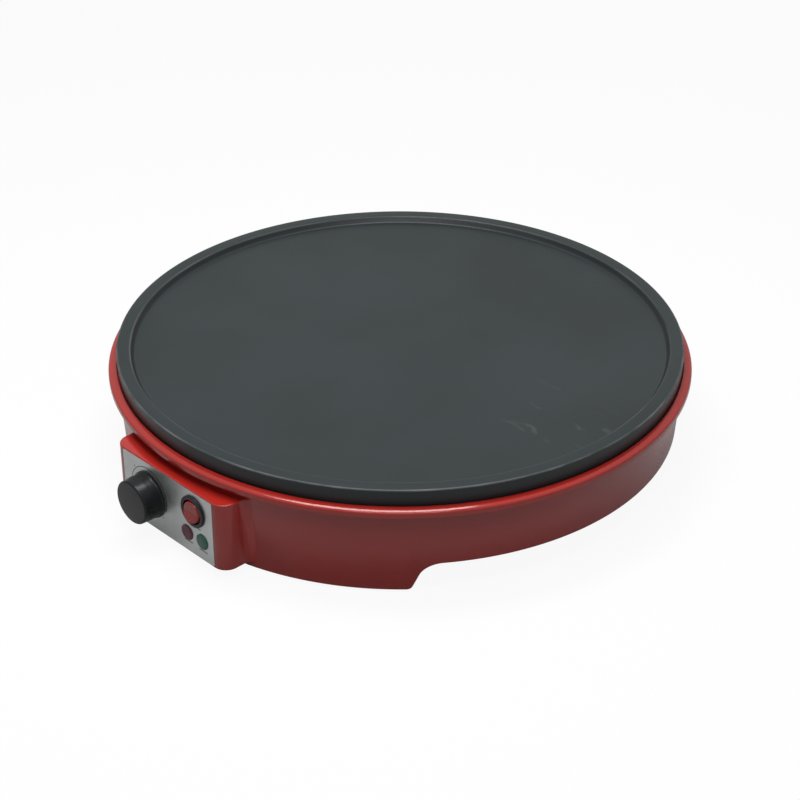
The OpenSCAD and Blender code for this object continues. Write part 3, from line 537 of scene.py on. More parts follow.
def finish(name, tone, other, tone_scale, gloss, gloss_scale, grain=None, **fixed):
    """A surface finish: two tones, a range of roughness, an optional grain and plain shader values."""
    material = bpy.data.materials.new(name)
    material.use_nodes = True
    shader = material.node_tree.nodes["Principled BSDF"]
    links = material.node_tree.links
    colour = use_group(material, MOTTLE, Scale=tone_scale, Tone=(*tone, 1), Other_Tone=(*other, 1))
    links.new(colour, shader.inputs["Base Color"])
    rough = use_group(material, PATCHY, Scale=gloss_scale, Least=gloss[0], Most=gloss[1])
    links.new(rough, shader.inputs["Roughness"])
    if grain:
        scale, depth, strength = grain
        bump = material.node_tree.nodes.new("ShaderNodeBump")
        bump.inputs["Strength"].default_value = strength
        bump.inputs["Distance"].default_value = depth
        links.new(use_group(material, GRAIN, Scale=scale), bump.inputs["Height"])
        links.new(bump.outputs["Normal"], shader.inputs["Normal"])
    for label, value in fixed.items():
        shader.inputs[label.replace("_", " ")].default_value = value
    return material


def lay_scuffs_and_painted_light(material, tone, *masks):
    """Lays a tone over a finish's colour wherever one of the masks shows it: real scuffs and rubbed coating,
    and also painted shade and painted highlights.
    """
    tree = material.node_tree
    colour = tree.nodes["Principled BSDF"].inputs["Base Color"]
    share = masks[0]
    for mask in masks[1:]:
        share = joined(tree, "MAXIMUM", share, mask)
    tree.links.new(tinted(tree, share, colour.links[0].from_socket, (*tone, 1)), colour)


def on_axis(z):
    """The point of the plate's axis at height z, in metres."""
    return (PLATE_AXIS.x, PLATE_AXIS.y, z * MM)


# ---- Finishes ----

NONSTICK = finish("nonstick_coat", (0.021, 0.030, 0.032), (0.016, 0.023, 0.025), 11,
                  (0.33, 0.41), 9, (1500, 0.00010, 0.5), Specular_IOR_Level=0.30)
# Painted shade: a darker band down the step between the raised ring and the cooking surface, where the step
# falls in shade.
lay_scuffs_and_painted_light(
    NONSTICK, (0.007, 0.009, 0.010),
    use_group(NONSTICK, EDGE_RUB_AND_PAINTED_LIGHT, Centre=on_axis(PLATE_TOP - 2.0),
              Edge_Radius=(PLATE_R - RING_W - 1.4) * MM, Reach=0.0032, Scale=30, Least=0.8, Most=1.0),
)
# Painted highlights: broken pale lines along the plate's outer top edge and the ring's inner edge, which also
# stand for coating rubbed thin there; and faint scratches in one patch of the cooking surface.
lay_scuffs_and_painted_light(
    NONSTICK, (0.15, 0.16, 0.165),
    use_group(NONSTICK, EDGE_RUB_AND_PAINTED_LIGHT, Centre=on_axis(PLATE_TOP - 0.3), Edge_Radius=(PLATE_R - 0.4) * MM,
              Reach=0.0013, Scale=45, Least=0.25, Most=1.0),
    use_group(NONSTICK, EDGE_RUB_AND_PAINTED_LIGHT, Centre=on_axis(PLATE_TOP - 0.3),
              Edge_Radius=(PLATE_R - RING_W - 0.2) * MM, Reach=0.0012, Scale=12, Least=0.0, Most=0.6),
    use_group(NONSTICK, SCUFFS, Centre=(0.149, PLATE_AXIS.y + 0.006, SURFACE_Z * MM), Reach=0.06, Scale=34,
              Turn=(0, 0, radians(-46)), Strength=0.4),
)
RED_PLASTIC = finish("red_gloss_plastic", (0.49, 0.026, 0.018), (0.45, 0.023, 0.016), 18,
                     (0.08, 0.13), 25, (700, 0.00002, 0.15), Specular_IOR_Level=0.44)
SILVER = finish("satin_silver_lacquer", (0.485, 0.50, 0.495), (0.45, 0.465, 0.46), 60,
                (0.34, 0.42), 90, (2500, 0.00002, 0.3), Metallic=0.75)
KNOB_BLACK = finish("black_satin_plastic", (0.011, 0.0125, 0.0135), (0.009, 0.010, 0.011), 120,
                    (0.25, 0.33), 150, (2600, 0.00003, 0.12), Specular_IOR_Level=0.21)
BEZEL_BLACK = finish("black_gloss_plastic", (0.014, 0.014, 0.015), (0.011, 0.011, 0.012), 120,
                     (0.32, 0.42), 150, (2200, 0.00002, 0.2), Specular_IOR_Level=0.25)
ROCKER_RED = finish("translucent_red_plastic", (0.53, 0.024, 0.009), (0.45, 0.018, 0.007), 200,
                    (0.05, 0.10), 200, Transmission_Weight=0.12, IOR=1.49, Specular_IOR_Level=0.36)
LENS_RED = finish("magenta_lens", (0.19, 0.012, 0.045), (0.165, 0.010, 0.038), 300,
                  (0.10, 0.18), 200, Transmission_Weight=0.15, IOR=1.49, Specular_IOR_Level=0.3)
LENS_GREEN = finish("green_lens", (0.022, 0.17, 0.115), (0.018, 0.145, 0.10), 300,
                    (0.10, 0.18), 200, Transmission_Weight=0.15, IOR=1.49, Specular_IOR_Level=0.3)
COVER_BLACK = finish("black_moulded_cover", (0.020, 0.020, 0.021), (0.015, 0.015, 0.016), 40,
                     (0.48, 0.62), 60, (1400, 0.00025, 0.8))
RUBBER = finish("foot_rubber", (0.022, 0.021, 0.020), (0.032, 0.030, 0.028), 160,
                (0.72, 0.88), 200, (1800, 0.00015, 0.6))
STEEL = finish("plated_steel", (0.62, 0.61, 0.58), (0.52, 0.51, 0.48), 120,
               (0.24, 0.38), 200, (2600, 0.00003, 0.4), Metallic=1.0)
REFLECTOR = finish("aluminised_sheet", (0.66, 0.67, 0.68), (0.58, 0.59, 0.60), 25,
                   (0.28, 0.42), 60, (900, 0.00006, 0.4), Metallic=1.0)
ELEMENT = finish("heat_tinted_steel", (0.30, 0.26, 0.22), (0.20, 0.19, 0.20), 30,
                 (0.38, 0.52), 80, (1600, 0.00006, 0.5), Metallic=1.0)
TINNED = finish("tinned_steel", (0.58, 0.58, 0.56), (0.50, 0.50, 0.49), 200,
                (0.28, 0.40), 300, (3000, 0.00002, 0.3), Metallic=1.0)
COPPER = finish("drawn_copper", (0.62, 0.30, 0.18), (0.48, 0.22, 0.14), 90,
                (0.26, 0.40), 200, (2600, 0.00002, 0.3), Metallic=1.0)
BRASS = finish("rolled_brass", (0.62, 0.45, 0.17), (0.52, 0.37, 0.14), 160,
               (0.24, 0.36), 240, (2600, 0.00002, 0.3), Metallic=1.0)
CERAMIC = finish("ivory_ceramic", (0.66, 0.61, 0.50), (0.60, 0.55, 0.45), 150,
                 (0.45, 0.60), 200, (1800, 0.00006, 0.4))
PALE_GLASS = finish("pale_glass", (0.80, 0.62, 0.50), (0.76, 0.56, 0.44), 300,
                    (0.05, 0.12), 200, Transmission_Weight=0.7, IOR=1.5)
MARK_ROSE = finish("mark_rose_paint", (0.42, 0.10, 0.09), (0.36, 0.08, 0.07), 300, (0.30, 0.40), 300)
PRINT_BLACK = finish("panel_print", (0.018, 0.018, 0.019), (0.026, 0.026, 0.027), 400,
                     (0.55, 0.65), 400)

# ---- Making helpers ----

# Smooth shading stops at edges that turn by more than a crease, and only sharp edges are rounded
CREASE_ANGLE = radians(32)
SHARP_ANGLE = 1.2


def filleted(corners, steps):
    """Points along a path whose corners are (x, y, radius), each rounded by an arc of its radius."""
    points = []
    for index, (x, y, radius) in enumerate(corners):
        here = Vector((x, y))
        if radius <= 0 or index in (0, len(corners) - 1):
            points.append(here)
            continue
        to_last = (Vector(corners[index - 1][:2]) - here).normalized()
        to_next = (Vector(corners[index + 1][:2]) - here).normalized()
        half = to_last.angle(to_next) / 2
        centre = here + (to_last + to_next).normalized() * radius / sin(half)
        first = here + to_last * radius / tan(half) - centre
        last = here + to_next * radius / tan(half) - centre
        sweep = first.angle_signed(last)
        for step in range(steps + 1):
            turn = Matrix.Rotation(-sweep * step / steps, 2)
            points.append(centre + turn @ first)
    return points


def spun(outline, sectors, closed=False):
    """Turns an outline of (radius, height) points about Z, sector by sector as (degrees, steps)."""
    bm = bmesh.new()
    verts = [bm.verts.new((x, 0, z)) for x, z in outline]
    edges = [bm.edges.new(pair) for pair in zip(verts, verts[1:])]
    if closed:
        edges.append(bm.edges.new((verts[-1], verts[0])))
    ring = verts + edges
    for angle, steps in sectors:
        swept = bmesh.ops.spin(bm, geom=ring, cent=(0, 0, 0), axis=(0, 0, 1),
                               angle=radians(angle), steps=steps, use_merge=angle == 360)
        ring = swept["geom_last"]
    bmesh.ops.remove_doubles(bm, verts=bm.verts, dist=0.0005)
    bmesh.ops.recalc_face_normals(bm, faces=bm.faces)
    return bm


def spun_round(outline, steps, closed=False):
    """Turns an outline of (radius, height) points once round Z."""
    return spun(outline, ((360, steps),), closed)


def shifted(bm, x, y, z):
    """Moves a whole shape."""
    bmesh.ops.translate(bm, verts=bm.verts, vec=(x, y, z))
    return bm


def turned(bm, angle, axis):
    """Turns a whole shape by degrees about an axis through the origin."""
    bmesh.ops.rotate(bm, verts=bm.verts, cent=(0, 0, 0), matrix=Matrix.Rotation(radians(angle), 3, axis))
    return bm


def on_plate(bm, x, y, angle=0):
    """Puts a shape at a place on the plate, then turns it about the plate's axis."""
    return turned(shifted(bm, x, y, 0), angle, "Z")


def face_panel(bm, x, out_y, z):
    """Turns a shape drawn with Z as its outward axis to face the panel side, and puts it in place."""
    return shifted(turned(bm, 90, "X"), x, out_y, z)


def face_back(bm, out_y):
    """Turns a shape drawn with Z as its outward axis to face the back, at the cord inlet."""
    return shifted(turned(bm, -90, "X"), 0, out_y, GLAND_Z)


def tube_between(outer, bore, bottom, top):
    """A short round boss with a bore, closed on every side."""
    waist = (bore, (bottom + top) / 2, 0)
    outline = filleted([
        waist, (bore, bottom, 0.2), (outer, bottom, 0.4), (outer, top, 0.1), (bore, top, 0.1), waist,
    ], 3)[:-1]
    return spun_round(outline, 48, closed=True)


def rod(radius, bottom, top, steps=64):
    """A plain closed cylinder between two heights, for cutting holes and for pins."""
    bm = bmesh.new()
    bmesh.ops.create_cone(bm, cap_ends=True, segments=steps, radius1=radius, radius2=radius,
                          depth=top - bottom)
    return shifted(bm, 0, 0, (top + bottom) / 2)


def slab(width, height, radius, bottom, top):
    """A slab with rounded corners between two heights."""
    w = width / 2
    h = height / 2
    outline = filleted([
        (0, h, 0), (w, h, radius), (w, -h, radius), (-w, -h, radius), (-w, h, radius), (0, h, 0),
    ], 6)
    bm = bmesh.new()
    face = bm.faces.new([bm.verts.new((p.x, p.y, bottom)) for p in outline[:-1]])
    grown = bmesh.ops.extrude_face_region(bm, geom=[face])["geom"]
    raised = [item for item in grown if isinstance(item, bmesh.types.BMVert)]
    bmesh.ops.translate(bm, vec=(0, 0, top - bottom), verts=raised)
    bmesh.ops.recalc_face_normals(bm, faces=bm.faces)
    return bm


def join_into(bm, other):
    """Adds a second shape to the first one's mesh."""
    mesh = bpy.data.meshes.new("joining")
    other.to_mesh(mesh)
    other.free()
    bm.from_mesh(mesh)
    bpy.data.meshes.remove(mesh)


def carve(bm, cutter):
    """Cuts one closed shape out of another, and returns what is left."""
    objects = []
    for label, shape in (("carved", bm), ("cutter", cutter)):
        mesh = bpy.data.meshes.new(label)
        shape.to_mesh(mesh)
        shape.free()
        item = bpy.data.objects.new(label, mesh)
        bpy.context.scene.collection.objects.link(item)
        objects.append(item)
    carved, knife = objects
    cut = carved.modifiers.new("cut", "BOOLEAN")
    cut.operation = "DIFFERENCE"
    cut.solver = "EXACT"
    cut.object = knife
    bpy.context.view_layer.update()
    result = bmesh.new()
    result.from_object(carved, bpy.context.evaluated_depsgraph_get())
    for item in objects:
        mesh = item.data
        bpy.data.objects.remove(item)
        bpy.data.meshes.remove(mesh)
    return result


def settle(bm, name, material, body, replaces=()):
    """Makes the finished piece in the model's frame, and ties it to its body."""
    bmesh.ops.scale(bm, vec=(MM, MM, MM), verts=bm.verts)
    bmesh.ops.translate(bm, vec=PLATE_AXIS, verts=bm.verts)
    mesh = bpy.data.meshes.new(name)
    bm.to_mesh(mesh)
    bm.free()
    mesh.shade_smooth()
    mesh.set_sharp_from_angle(angle=CREASE_ANGLE)
    mesh.materials.append(material)
    piece = bpy.data.objects.new(name, mesh)
    bpy.context.scene.collection.objects.link(piece)
    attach(piece, body)
    if replaces:
        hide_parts(*replaces)


# ---- Cooking plate ----


def element_track(radius):
    """The cast rib with the half-round groove that one turn of the element lies in."""
    inner = radius - TRACK_W / 2
    outer = radius + TRACK_W / 2
    groove = [(radius + GROOVE_R * cos(pi - pi * i / 12), ELEMENT_Z + GROOVE_R * sin(pi * i / 12))
              for i in range(13)]
    outline = [(inner, ELEMENT_Z)] + groove + [(outer, ELEMENT_Z), (outer, ROOT_Z), (inner, ROOT_Z)]
    bm = bmesh.new()
    face = bm.faces.new([bm.verts.new((x, 0, z)) for x, z in outline])
    bmesh.ops.spin(bm, geom=[face] + list(face.edges) + list(face.verts), cent=(0, 0, 0), axis=(0, 0, 1),
                   angle=radians(TRACK_SWEEP), steps=132)
    bmesh.ops.recalc_face_normals(bm, faces=bm.faces)
    return turned(bm, TRACK_START, "Z")


def make_plate():
    """The cast plate, with its raised ring, the spigot below it, and the tracks and bosses underneath."""
    spigot_r = PLATE_R - SIDE_DRAFT - SPIGOT_INSET
    outline = filleted([
        (0, SURFACE_Z, 0), (PLATE_R - RING_W - STEP_RUN, SURFACE_Z, 1.8), (PLATE_R - RING_W, PLATE_TOP, 1.3),
        (PLATE_R, PLATE_TOP, PLATE_EDGE_R), (PLATE_R - SIDE_DRAFT, SIDE_Z, 0.5),
        (spigot_r, SIDE_Z, 0.4), (spigot_r, SIDE_Z - SPIGOT_H, 0.4),
        (spigot_r - SPIGOT_T, SIDE_Z - SPIGOT_H, 0.4), (spigot_r - SPIGOT_T, WEB_Z, 4), (0, WEB_Z, 0),
    ], 6)
    bm = spun_round(outline, 288)
    for radius in TRACK_RADII:
        join_into(bm, element_track(radius))
    for angle in (45, 135, 225, 315):
        boss = tube_between(SPACER_BOSS_R, LARGE_SCREW_BORE_R, high("plate_spacers").z, ROOT_Z)
        join_into(bm, on_plate(boss, BOSS_CIRCLE_R, 0, angle))
    for angle in (0, 90, 180):
        boss = tube_between(CLAMP_BOSS_R, LARGE_SCREW_BORE_R, high("element_clamps").z, ROOT_Z)
        join_into(bm, on_plate(boss, BOSS_CIRCLE_R, 0, angle))
    bulb_clip = high("bulb_clip")
    fuse_clip = high("fuse_clip")
    for x, y, z in (
        (bulb_clip.x - CLIP_BOSS_R, middle("bulb_clip").y, bulb_clip.z),
        (0, fuse_clip.y - CLIP_BOSS_R, fuse_clip.z),
    ):
        join_into(bm, on_plate(tube_between(CLIP_BOSS_R, SMALL_SCREW_BORE_R, z, ROOT_Z), x, y))
    settle(bm, "plate_casting", NONSTICK, "base", ("cooking_plate",))


# ---- Base shell ----

ARCH_LEAN = atan2(ARCH_SLOPE, ARCH_H)
ARCH_SETBACK = tan((pi / 2 - ARCH_LEAN) / 2)
ARCH_FOOT_Y = ARCH_HALF + ARCH_FOOT_R * ARCH_SETBACK
ARCH_TOP_Y = ARCH_HALF - ARCH_SLOPE - ARCH_TOP_R * ARCH_SETBACK
LEDGE_R = wall_r(LEDGE_Z) - WALL_T - LEDGE_W
SLIVER = 0.04


def arch_lift(y):
    """How far the skirt's lower edge rises at this distance along the table."""
    y = abs(y)
    foot_end = ARCH_FOOT_Y - ARCH_FOOT_R * cos(ARCH_LEAN)
    top_end = ARCH_TOP_Y + ARCH_TOP_R * cos(ARCH_LEAN)
    if y >= ARCH_FOOT_Y:
        return 0
    if y >= foot_end:
        return ARCH_FOOT_R - sqrt(ARCH_FOOT_R ** 2 - (ARCH_FOOT_Y - y) ** 2)
    if y <= ARCH_TOP_Y:
        return ARCH_H
    if y >= top_end:
        foot_z = ARCH_FOOT_R - ARCH_FOOT_R * sin(ARCH_LEAN)
        return foot_z + (foot_end - y) / tan(ARCH_LEAN)
    return ARCH_H - ARCH_TOP_R + sqrt(ARCH_TOP_R ** 2 - (y - ARCH_TOP_Y) ** 2)


def shell_outline():
    """The closed section of the moulded wall, up its outside, over the rim and down its inside."""
    shoulder = (RIM_R - SHOULDER_RUN, SHOULDER_Z, 12)
    hem_r = RIM_R - HEM_W
    outside = filleted([
        (wall_r(SKIRT_Z) - WALL_T / 2, SKIRT_Z, 0), (wall_r(SKIRT_Z), SKIRT_Z, 0.7),
        (WALL_TOP_R, WALL_TOP_Z, 8), (WALL_TOP_R, LIP_Z + HEM_CORNER, 0.4), (hem_r, LIP_Z + HEM_CORNER, 0.3),
        (hem_r, LIP_Z - HEM_DROP, 0.3), (RIM_R - HEM_CORNER, LIP_Z - HEM_DROP, 0.3), (RIM_R, LIP_Z, 0),
    ], 6)[1:-1]
    rim = filleted([
        (RIM_R, LIP_Z, 0), (RIM_R, SHOULDER_Z - SHOULDER_RUN * SHOULDER_LEAN, 2.2), shoulder,
        (RIM_IR, CREST_Z, 0),
    ], 10)[:-1]
    inside = filleted([
        shoulder, (RIM_IR, CREST_Z, 0.3), (RIM_IR, SEAT_Z, 0.3), (wall_r(SEAT_Z) - WALL_T, SEAT_Z, 0.3),
        (wall_r(LEDGE_Z) - WALL_T, LEDGE_Z, 0.5), (LEDGE_R, LEDGE_Z, 0.5), (LEDGE_R, LEDGE_Z - LEDGE_T, 0.5),
        (wall_r(LEDGE_Z) - WALL_T, LEDGE_Z - LEDGE_T, 1.5), (wall_r(SKIRT_Z) - WALL_T, SKIRT_Z, 0.7),
        (wall_r(SKIRT_Z) - WALL_T / 2, SKIRT_Z, 0),
    ], 4)[1:-1]
    return outside + rim + inside


def make_shell():
    """The moulded wall with its rolled rim, ledge, arches and the opening behind the control box."""
    opening = degrees(atan2(BOX_HALF - WALL_T, wall_r(30)))
    # Finer steps at the four ends of the arches, and a sliver at each side of the opening
    bm = spun(shell_outline(), (
        (35, 28), (8, 32), (94, 76), (8, 32), (70, 56), (8, 32),
        (47 - opening, 26), (SLIVER, 1), (2 * (opening - SLIVER), 26), (SLIVER, 1), (47 - opening, 26),
        (8, 32), (35, 28),
    ), closed=True)
    for vert in [v for v in bm.verts if v.co.z < SKIRT_Z + 2]:
        away = degrees(abs(atan2(vert.co.x, -vert.co.y)))
        in_opening = away < opening - SLIVER / 2
        lift = BOX_TOP - WALL_T - SKIRT_Z if in_opening else arch_lift(vert.co.y)
        radius = vert.co.xy.length
        vert.co.xy *= (radius + lift * WALL_DRAFT) / radius
        vert.co.z += lift
    return bm


def box_half_path(z):
    """Half the box in plan at height z, from the wall, round the blend and the corner, to the front."""
    reach = wall_r(z) + BOX_BLEND_R
    blend = Vector((BOX_HALF + BOX_BLEND_R, -sqrt(reach ** 2 - (BOX_HALF + BOX_BLEND_R) ** 2)))
    lean = atan2(-blend.y, blend.x)
    touch = blend * wall_r(z) / reach
    hidden = touch * (1 - 1.2 / wall_r(z)) + Vector((-blend.y, blend.x)).normalized() * 3
    hollow = [blend + BOX_BLEND_R * Vector((-cos(lean * i / 14), sin(lean * i / 14))) for i in range(15)]
    corner = filleted([
        (BOX_HALF, blend.y, 0), (BOX_HALF, BOX_FRONT, BOX_CORNER_R), (0, BOX_FRONT, 0),
    ], 12)[1:-1]
    return [hidden] + hollow[::-1] + corner


def rim_edges(bm, z, back):
    """The sharp edges at height z, in front of the radius that hides the box's back."""
    return [edge for edge in bm.edges
            if all(abs(v.co.z - z) < 0.01 and v.co.xy.length > back for v in edge.verts)
            and edge.calc_face_angle(0) > SHARP_ANGLE]


def box_shell():
    """The walls and top of the control box, open to the base behind and below."""
    bm = bmesh.new()
    rows = []
    for z in (BOX_Z, BOX_TOP):
        half = box_half_path(z)
        verts = [bm.verts.new((p.x, p.y, z)) for p in half]
        verts += [bm.verts.new((-p.x, p.y, z)) for p in half[::-1]]
        rows.append([bm.edges.new(pair) for pair in zip(verts, verts[1:])])
    bmesh.ops.bridge_loops(bm, edges=rows[0] + rows[1])
    back = wall_r(BOX_TOP) - WALL_T / 2
    end = verts[-1].co.xy
    start = atan2(end.y, end.x)
    sweep = 2 * (-pi / 2 - start)
    arc = [bm.verts.new((back * cos(start + sweep * i / 24), back * sin(start + sweep * i / 24), BOX_TOP))
           for i in range(25)]
    bm.faces.new(verts + arc)
    bmesh.ops.recalc_face_normals(bm, faces=bm.faces)
    bmesh.ops.solidify(bm, geom=bm.faces, thickness=WALL_T)
    bmesh.ops.recalc_face_normals(bm, faces=bm.faces)
    top_edges = rim_edges(bm, BOX_TOP, back + 1.0)
    foot_edges = rim_edges(bm, BOX_Z, back)
    for edges, radius, segments in ((top_edges, BOX_EDGE_R, 5), (foot_edges, BOX_FOOT_EDGE_R, 3)):
        bmesh.ops.bevel(bm, geom=edges, offset=radius, segments=segments, profile=0.5, affect="EDGES",
                        material=-1)
    return bm


def drill(radius, x, z):
    """A cutter for a round hole through the wall behind the panel."""
    return face_panel(rod(radius, -DRILL_DEEP, DRILL_OUT), x, BOX_FRONT, z)


def make_control_box():
    """The box on the front, with its panel recess and the holes for knob, switch and lamps."""
    pocket = slab(PANEL_SIZE.x + 2 * PANEL_GAP, PANEL_SIZE.z + 2 * PANEL_GAP, PANEL_CORNER_R + PANEL_GAP,
                  BOX_FRONT - PANEL_BACK, 4)
    bm = carve(box_shell(), face_panel(pocket, 0, BOX_FRONT, middle("control_panel").z))
    holes = drill(NECK_HOLE_R, KNOB.x, KNOB.z)
    for side in (-THERMOSTAT_HOLE_X, THERMOSTAT_HOLE_X):
        join_into(holes, drill(THERMOSTAT_HOLE_R, KNOB.x + side, KNOB.z))
    join_into(holes, drill(SWITCH_BODY_R + BODY_FIT, SWITCH.x, SWITCH.z))
    for lamp in (middle("red_lamp_lens"), middle("green_lamp_lens")):
        join_into(holes, drill(LAMP_BARREL_R + BODY_FIT, lamp.x, lamp.z))
    return carve(bm, holes)


def make_base():
    """The whole shell: wall, control box, the cord bush's boss and the screw posts."""
    bm = carve(make_shell(), face_back(rod(GLAND_BARREL_R + BODY_FIT, -30, 5), GLAND_FACE))
    join_into(bm, make_control_box())
    boss = tube_between(GLAND_FLANGE_R + 2, GLAND_BARREL_R + BODY_FIT, -(WALL_T + 3), 1.2)
    join_into(bm, face_back(boss, wall_r(GLAND_Z)))
    for angle in range(0, 360, 60):
        post = tube_between(POST_R, SMALL_SCREW_BORE_R, COVER_TOP, LEDGE_Z - LEDGE_T + 0.5)
        join_into(bm, on_plate(post, LEDGE_R + POST_INSET, 0, angle))
    settle(bm, "base_shell", RED_PLASTIC, "base", ("base_housing",))


# ---- Knob, switch, lamps and cord inlet ----


def make_knob():
    """The hollow knob with its hub, flared foot and pointer notch."""
    hub_r = KNOB_BORE_R + HUB_WALL
    bore_end = KNOB_H - KNOB_BORE_END
    ceiling = KNOB_H - KNOB_TOP_T
    inside = filleted([
        (0, bore_end, 0), (KNOB_BORE_R, bore_end, 0.1), (KNOB_BORE_R, 0, 0.1), (hub_r, 0, 0.2),
        (hub_r, ceiling, 0.4), (KNOB_FACE_R - KNOB_WALL_AT_TOP, ceiling, 0.8),
        (KNOB_FACE_R - KNOB_WALL_AT_FOOT, 0, 0.3), (KNOB_R, 0, 0.3), (KNOB_R, KNOB_LIP_H, 0),
    ], 8)
    flare_w = KNOB_R - KNOB_WAIST_R
    flare_h = KNOB_FLARE_H - KNOB_LIP_H
    flare = [Vector((KNOB_WAIST_R + flare_w * (1 - sin(turn)), KNOB_FLARE_H - flare_h * cos(turn)))
             for turn in (pi / 2 * i / 14 for i in range(1, 14))]
    outside = filleted([
        (KNOB_R, 1, 0), (KNOB_WAIST_R, KNOB_FLARE_H, 0.3), (KNOB_WAIST_R, KNOB_H / 2, 8),
        (KNOB_FACE_R, KNOB_H, 1.3), (0, KNOB_H, 0),
    ], 8)[1:]
    bm = spun_round(inside + flare + outside, 160)
    notch = shifted(slab(3, 1, 0.3, 4, KNOB_H + 2), -KNOB_R + 0.5, 0, 0)
    bm = face_panel(carve(bm, notch), KNOB.x, KNOB_BACK, KNOB.z)
    settle(bm, "knob_cap", KNOB_BLACK, "knob", ("thermostat_knob",))


def rocker_pins(radius, end_gap):
    """A bar through the rocker's pivot, along X, that stops short of the switch body's outside by a gap."""
    reach = SWITCH_BODY_R - end_gap
    return turned(rod(radius, -reach, reach, 32), 90, "Y")


def make_switch():
    """The switch's bezel and body in one, with the rocker's well and the bores for its pins."""
    depth = SWITCH_BACK - PANEL_FACE
    outline = filleted([
        (0, -depth, 0), (SWITCH_BODY_R, -depth, 0.6), (SWITCH_BODY_R, 0, 0.1), (BEZEL_R, 0, 0.15),
        (BEZEL_R, BEZEL_H, 0.9), (WELL_R, BEZEL_H, 0.5), (WELL_R, -WELL_DEEP, 0.5),
        (SOCKET_R, -WELL_DEEP, 0.2), (SOCKET_R, -SOCKET_DEEP, 0.2), (0, -SOCKET_DEEP, 0),
    ], 6)
    bores = shifted(rocker_pins(PIN_BORE_R, 0.15), 0, 0, PANEL_FACE - ROCKER_PIVOT)
    bm = face_panel(carve(spun_round(outline, 144), bores), SWITCH.x, PANEL_FACE, SWITCH.z)
    settle(bm, "switch_bezel", BEZEL_BLACK, "base", ("switch_housing",))


def on_rocker(bm):
    """Bends a part of the rocker to its dish, with a soft valley, tips it to rest and puts it on its pins."""
    for vert in bm.verts:
        rise = sqrt(vert.co.y ** 2 + VALLEY_SOFTNESS) * tan(radians(ROCKER_DISH))
        room_to_swing = sqrt(max(ROCKER_SWING_R ** 2 - vert.co.y ** 2, 0))
        vert.co.z = min(vert.co.z + rise, max(room_to_swing, 1))
    return face_panel(turned(bm, -ROCKER_DISH, "X"), SWITCH.x, ROCKER_PIVOT, SWITCH.z)


def make_rocker():
    """The rocker with its pins."""
    rings = [(0.34 * i, ROCKER_TOP, 0) for i in range(20)]
    outline = filleted(rings + [
        (ROCKER_R - ROCKER_SHOULDER_W, ROCKER_TOP, 0.5),
        (ROCKER_R - ROCKER_DRAFT, ROCKER_TOP - ROCKER_SHOULDER_H, 0.5),
        (ROCKER_R, ROCKER_SIDE_Z[0], 0.3), (ROCKER_R, ROCKER_SIDE_Z[1], 0.3),
        (ROCKER_KEEL_R, ROCKER_KEEL_Z, 0.4), (0, ROCKER_KEEL_Z, 0),
    ], 8)
    bm = on_rocker(spun_round(outline, 128))
    join_into(bm, shifted(rocker_pins(PIN_R, 0.3), SWITCH.x, ROCKER_PIVOT, SWITCH.z))
    settle(bm, "rocker_button", ROCKER_RED, "rocker", ("switch_rocker",))


def make_rocker_marks():
    """The painted bar at the rocker's on end and the painted ring at its off end."""
    bottom = ROCKER_TOP - 0.1
    top = ROCKER_TOP + 0.03
    bar = shifted(slab(0.5, 2.6, 0.2, bottom, top), 0, 4.1, 0)
    settle(on_rocker(bar), "rocker_on_bar", MARK_ROSE, "rocker")
    ring = spun_round([(1.45, bottom), (1.9, bottom), (1.9, top), (1.45, top)], 48, closed=True)
    settle(on_rocker(shifted(ring, 0, -4.2, 0)), "rocker_off_ring", MARK_ROSE, "rocker")


def make_lens(name, node, material):
    """A domed lens with the barrel that goes through the panel."""
    at = middle(node)
    back = PANEL_FACE - LENS_BACK
    dome = [Vector((LENS_R * cos(turn), LENS_EDGE_H + LENS_DOME_H * sin(turn)))
            for turn in (pi / 2 * i / 14 for i in range(14, -1, -1))]
    core = filleted([
        (LENS_R, LENS_EDGE_H, 0), (LENS_R, 0, 0.12), (LAMP_BARREL_R, 0, 0.1), (LAMP_BARREL_R, back, 0.1),
        (LAMP_BARREL_R - LAMP_BARREL_T, back, 0.1), (LAMP_BARREL_R - LAMP_BARREL_T, -1.5, 0.6), (0, -1.5, 0),
    ], 4)[1:]
    bm = face_panel(spun_round(dome + core, 96), at.x, PANEL_FACE, at.z)
    settle(bm, name, material, "base", (node,))


def make_inlet():
    """The cord's bush, its flange outside the wall."""
    length = GLAND_FACE - GLAND_BACK
    waist = (GLAND_BORE_R, -length / 2, 0)
    outline = filleted([
        waist, (GLAND_BORE_R, -length, 0.4), (GLAND_BARREL_R, -length, 0.6),
        (GLAND_BARREL_R, -GLAND_FLANGE_T, 0.2), (GLAND_FLANGE_R, -GLAND_FLANGE_T, 0.3),
        (GLAND_FLANGE_R, 0, 1.0), (GLAND_BORE_R, 0, 0.8), waist,
    ], 6)[:-1]
    bm = face_back(spun_round(outline, 96, closed=True), GLAND_FACE)
    settle(bm, "inlet_bush", BEZEL_BLACK, "base", ("cord_gland",))


# ---- Print on the panel ----

INK_T = 0.04
SCALE_R = 19.0
SCALE_START = 165
SCALE_END = -22
SCALE_THIN = 0.4
SCALE_GROWTH = 0.5


def heat_scale():
    """The arc round the knob, whose line grows from its start to its end."""
    sweep = SCALE_START - SCALE_END
    inner_r = SCALE_R - SCALE_THIN
    bm = bmesh.new()
    ends = [bm.verts.new((SCALE_R, 0, 0)), bm.verts.new((inner_r, 0, 0))]
    line = bm.edges.new(ends)
    bmesh.ops.spin(bm, geom=ends + [line], cent=(0, 0, 0), axis=(0, 0, 1), angle=radians(sweep), steps=64)
    for vert in bm.verts:
        along = degrees(atan2(vert.co.y, vert.co.x)) % 360 / sweep
        radius = vert.co.xy.length
        if radius < SCALE_R - 0.1:
            vert.co.xy *= (inner_r - SCALE_GROWTH * (1 - along)) / radius
    turned(bm, SCALE_END, "Z")
    bmesh.ops.solidify(bm, geom=bm.faces, thickness=INK_T)
    return bm


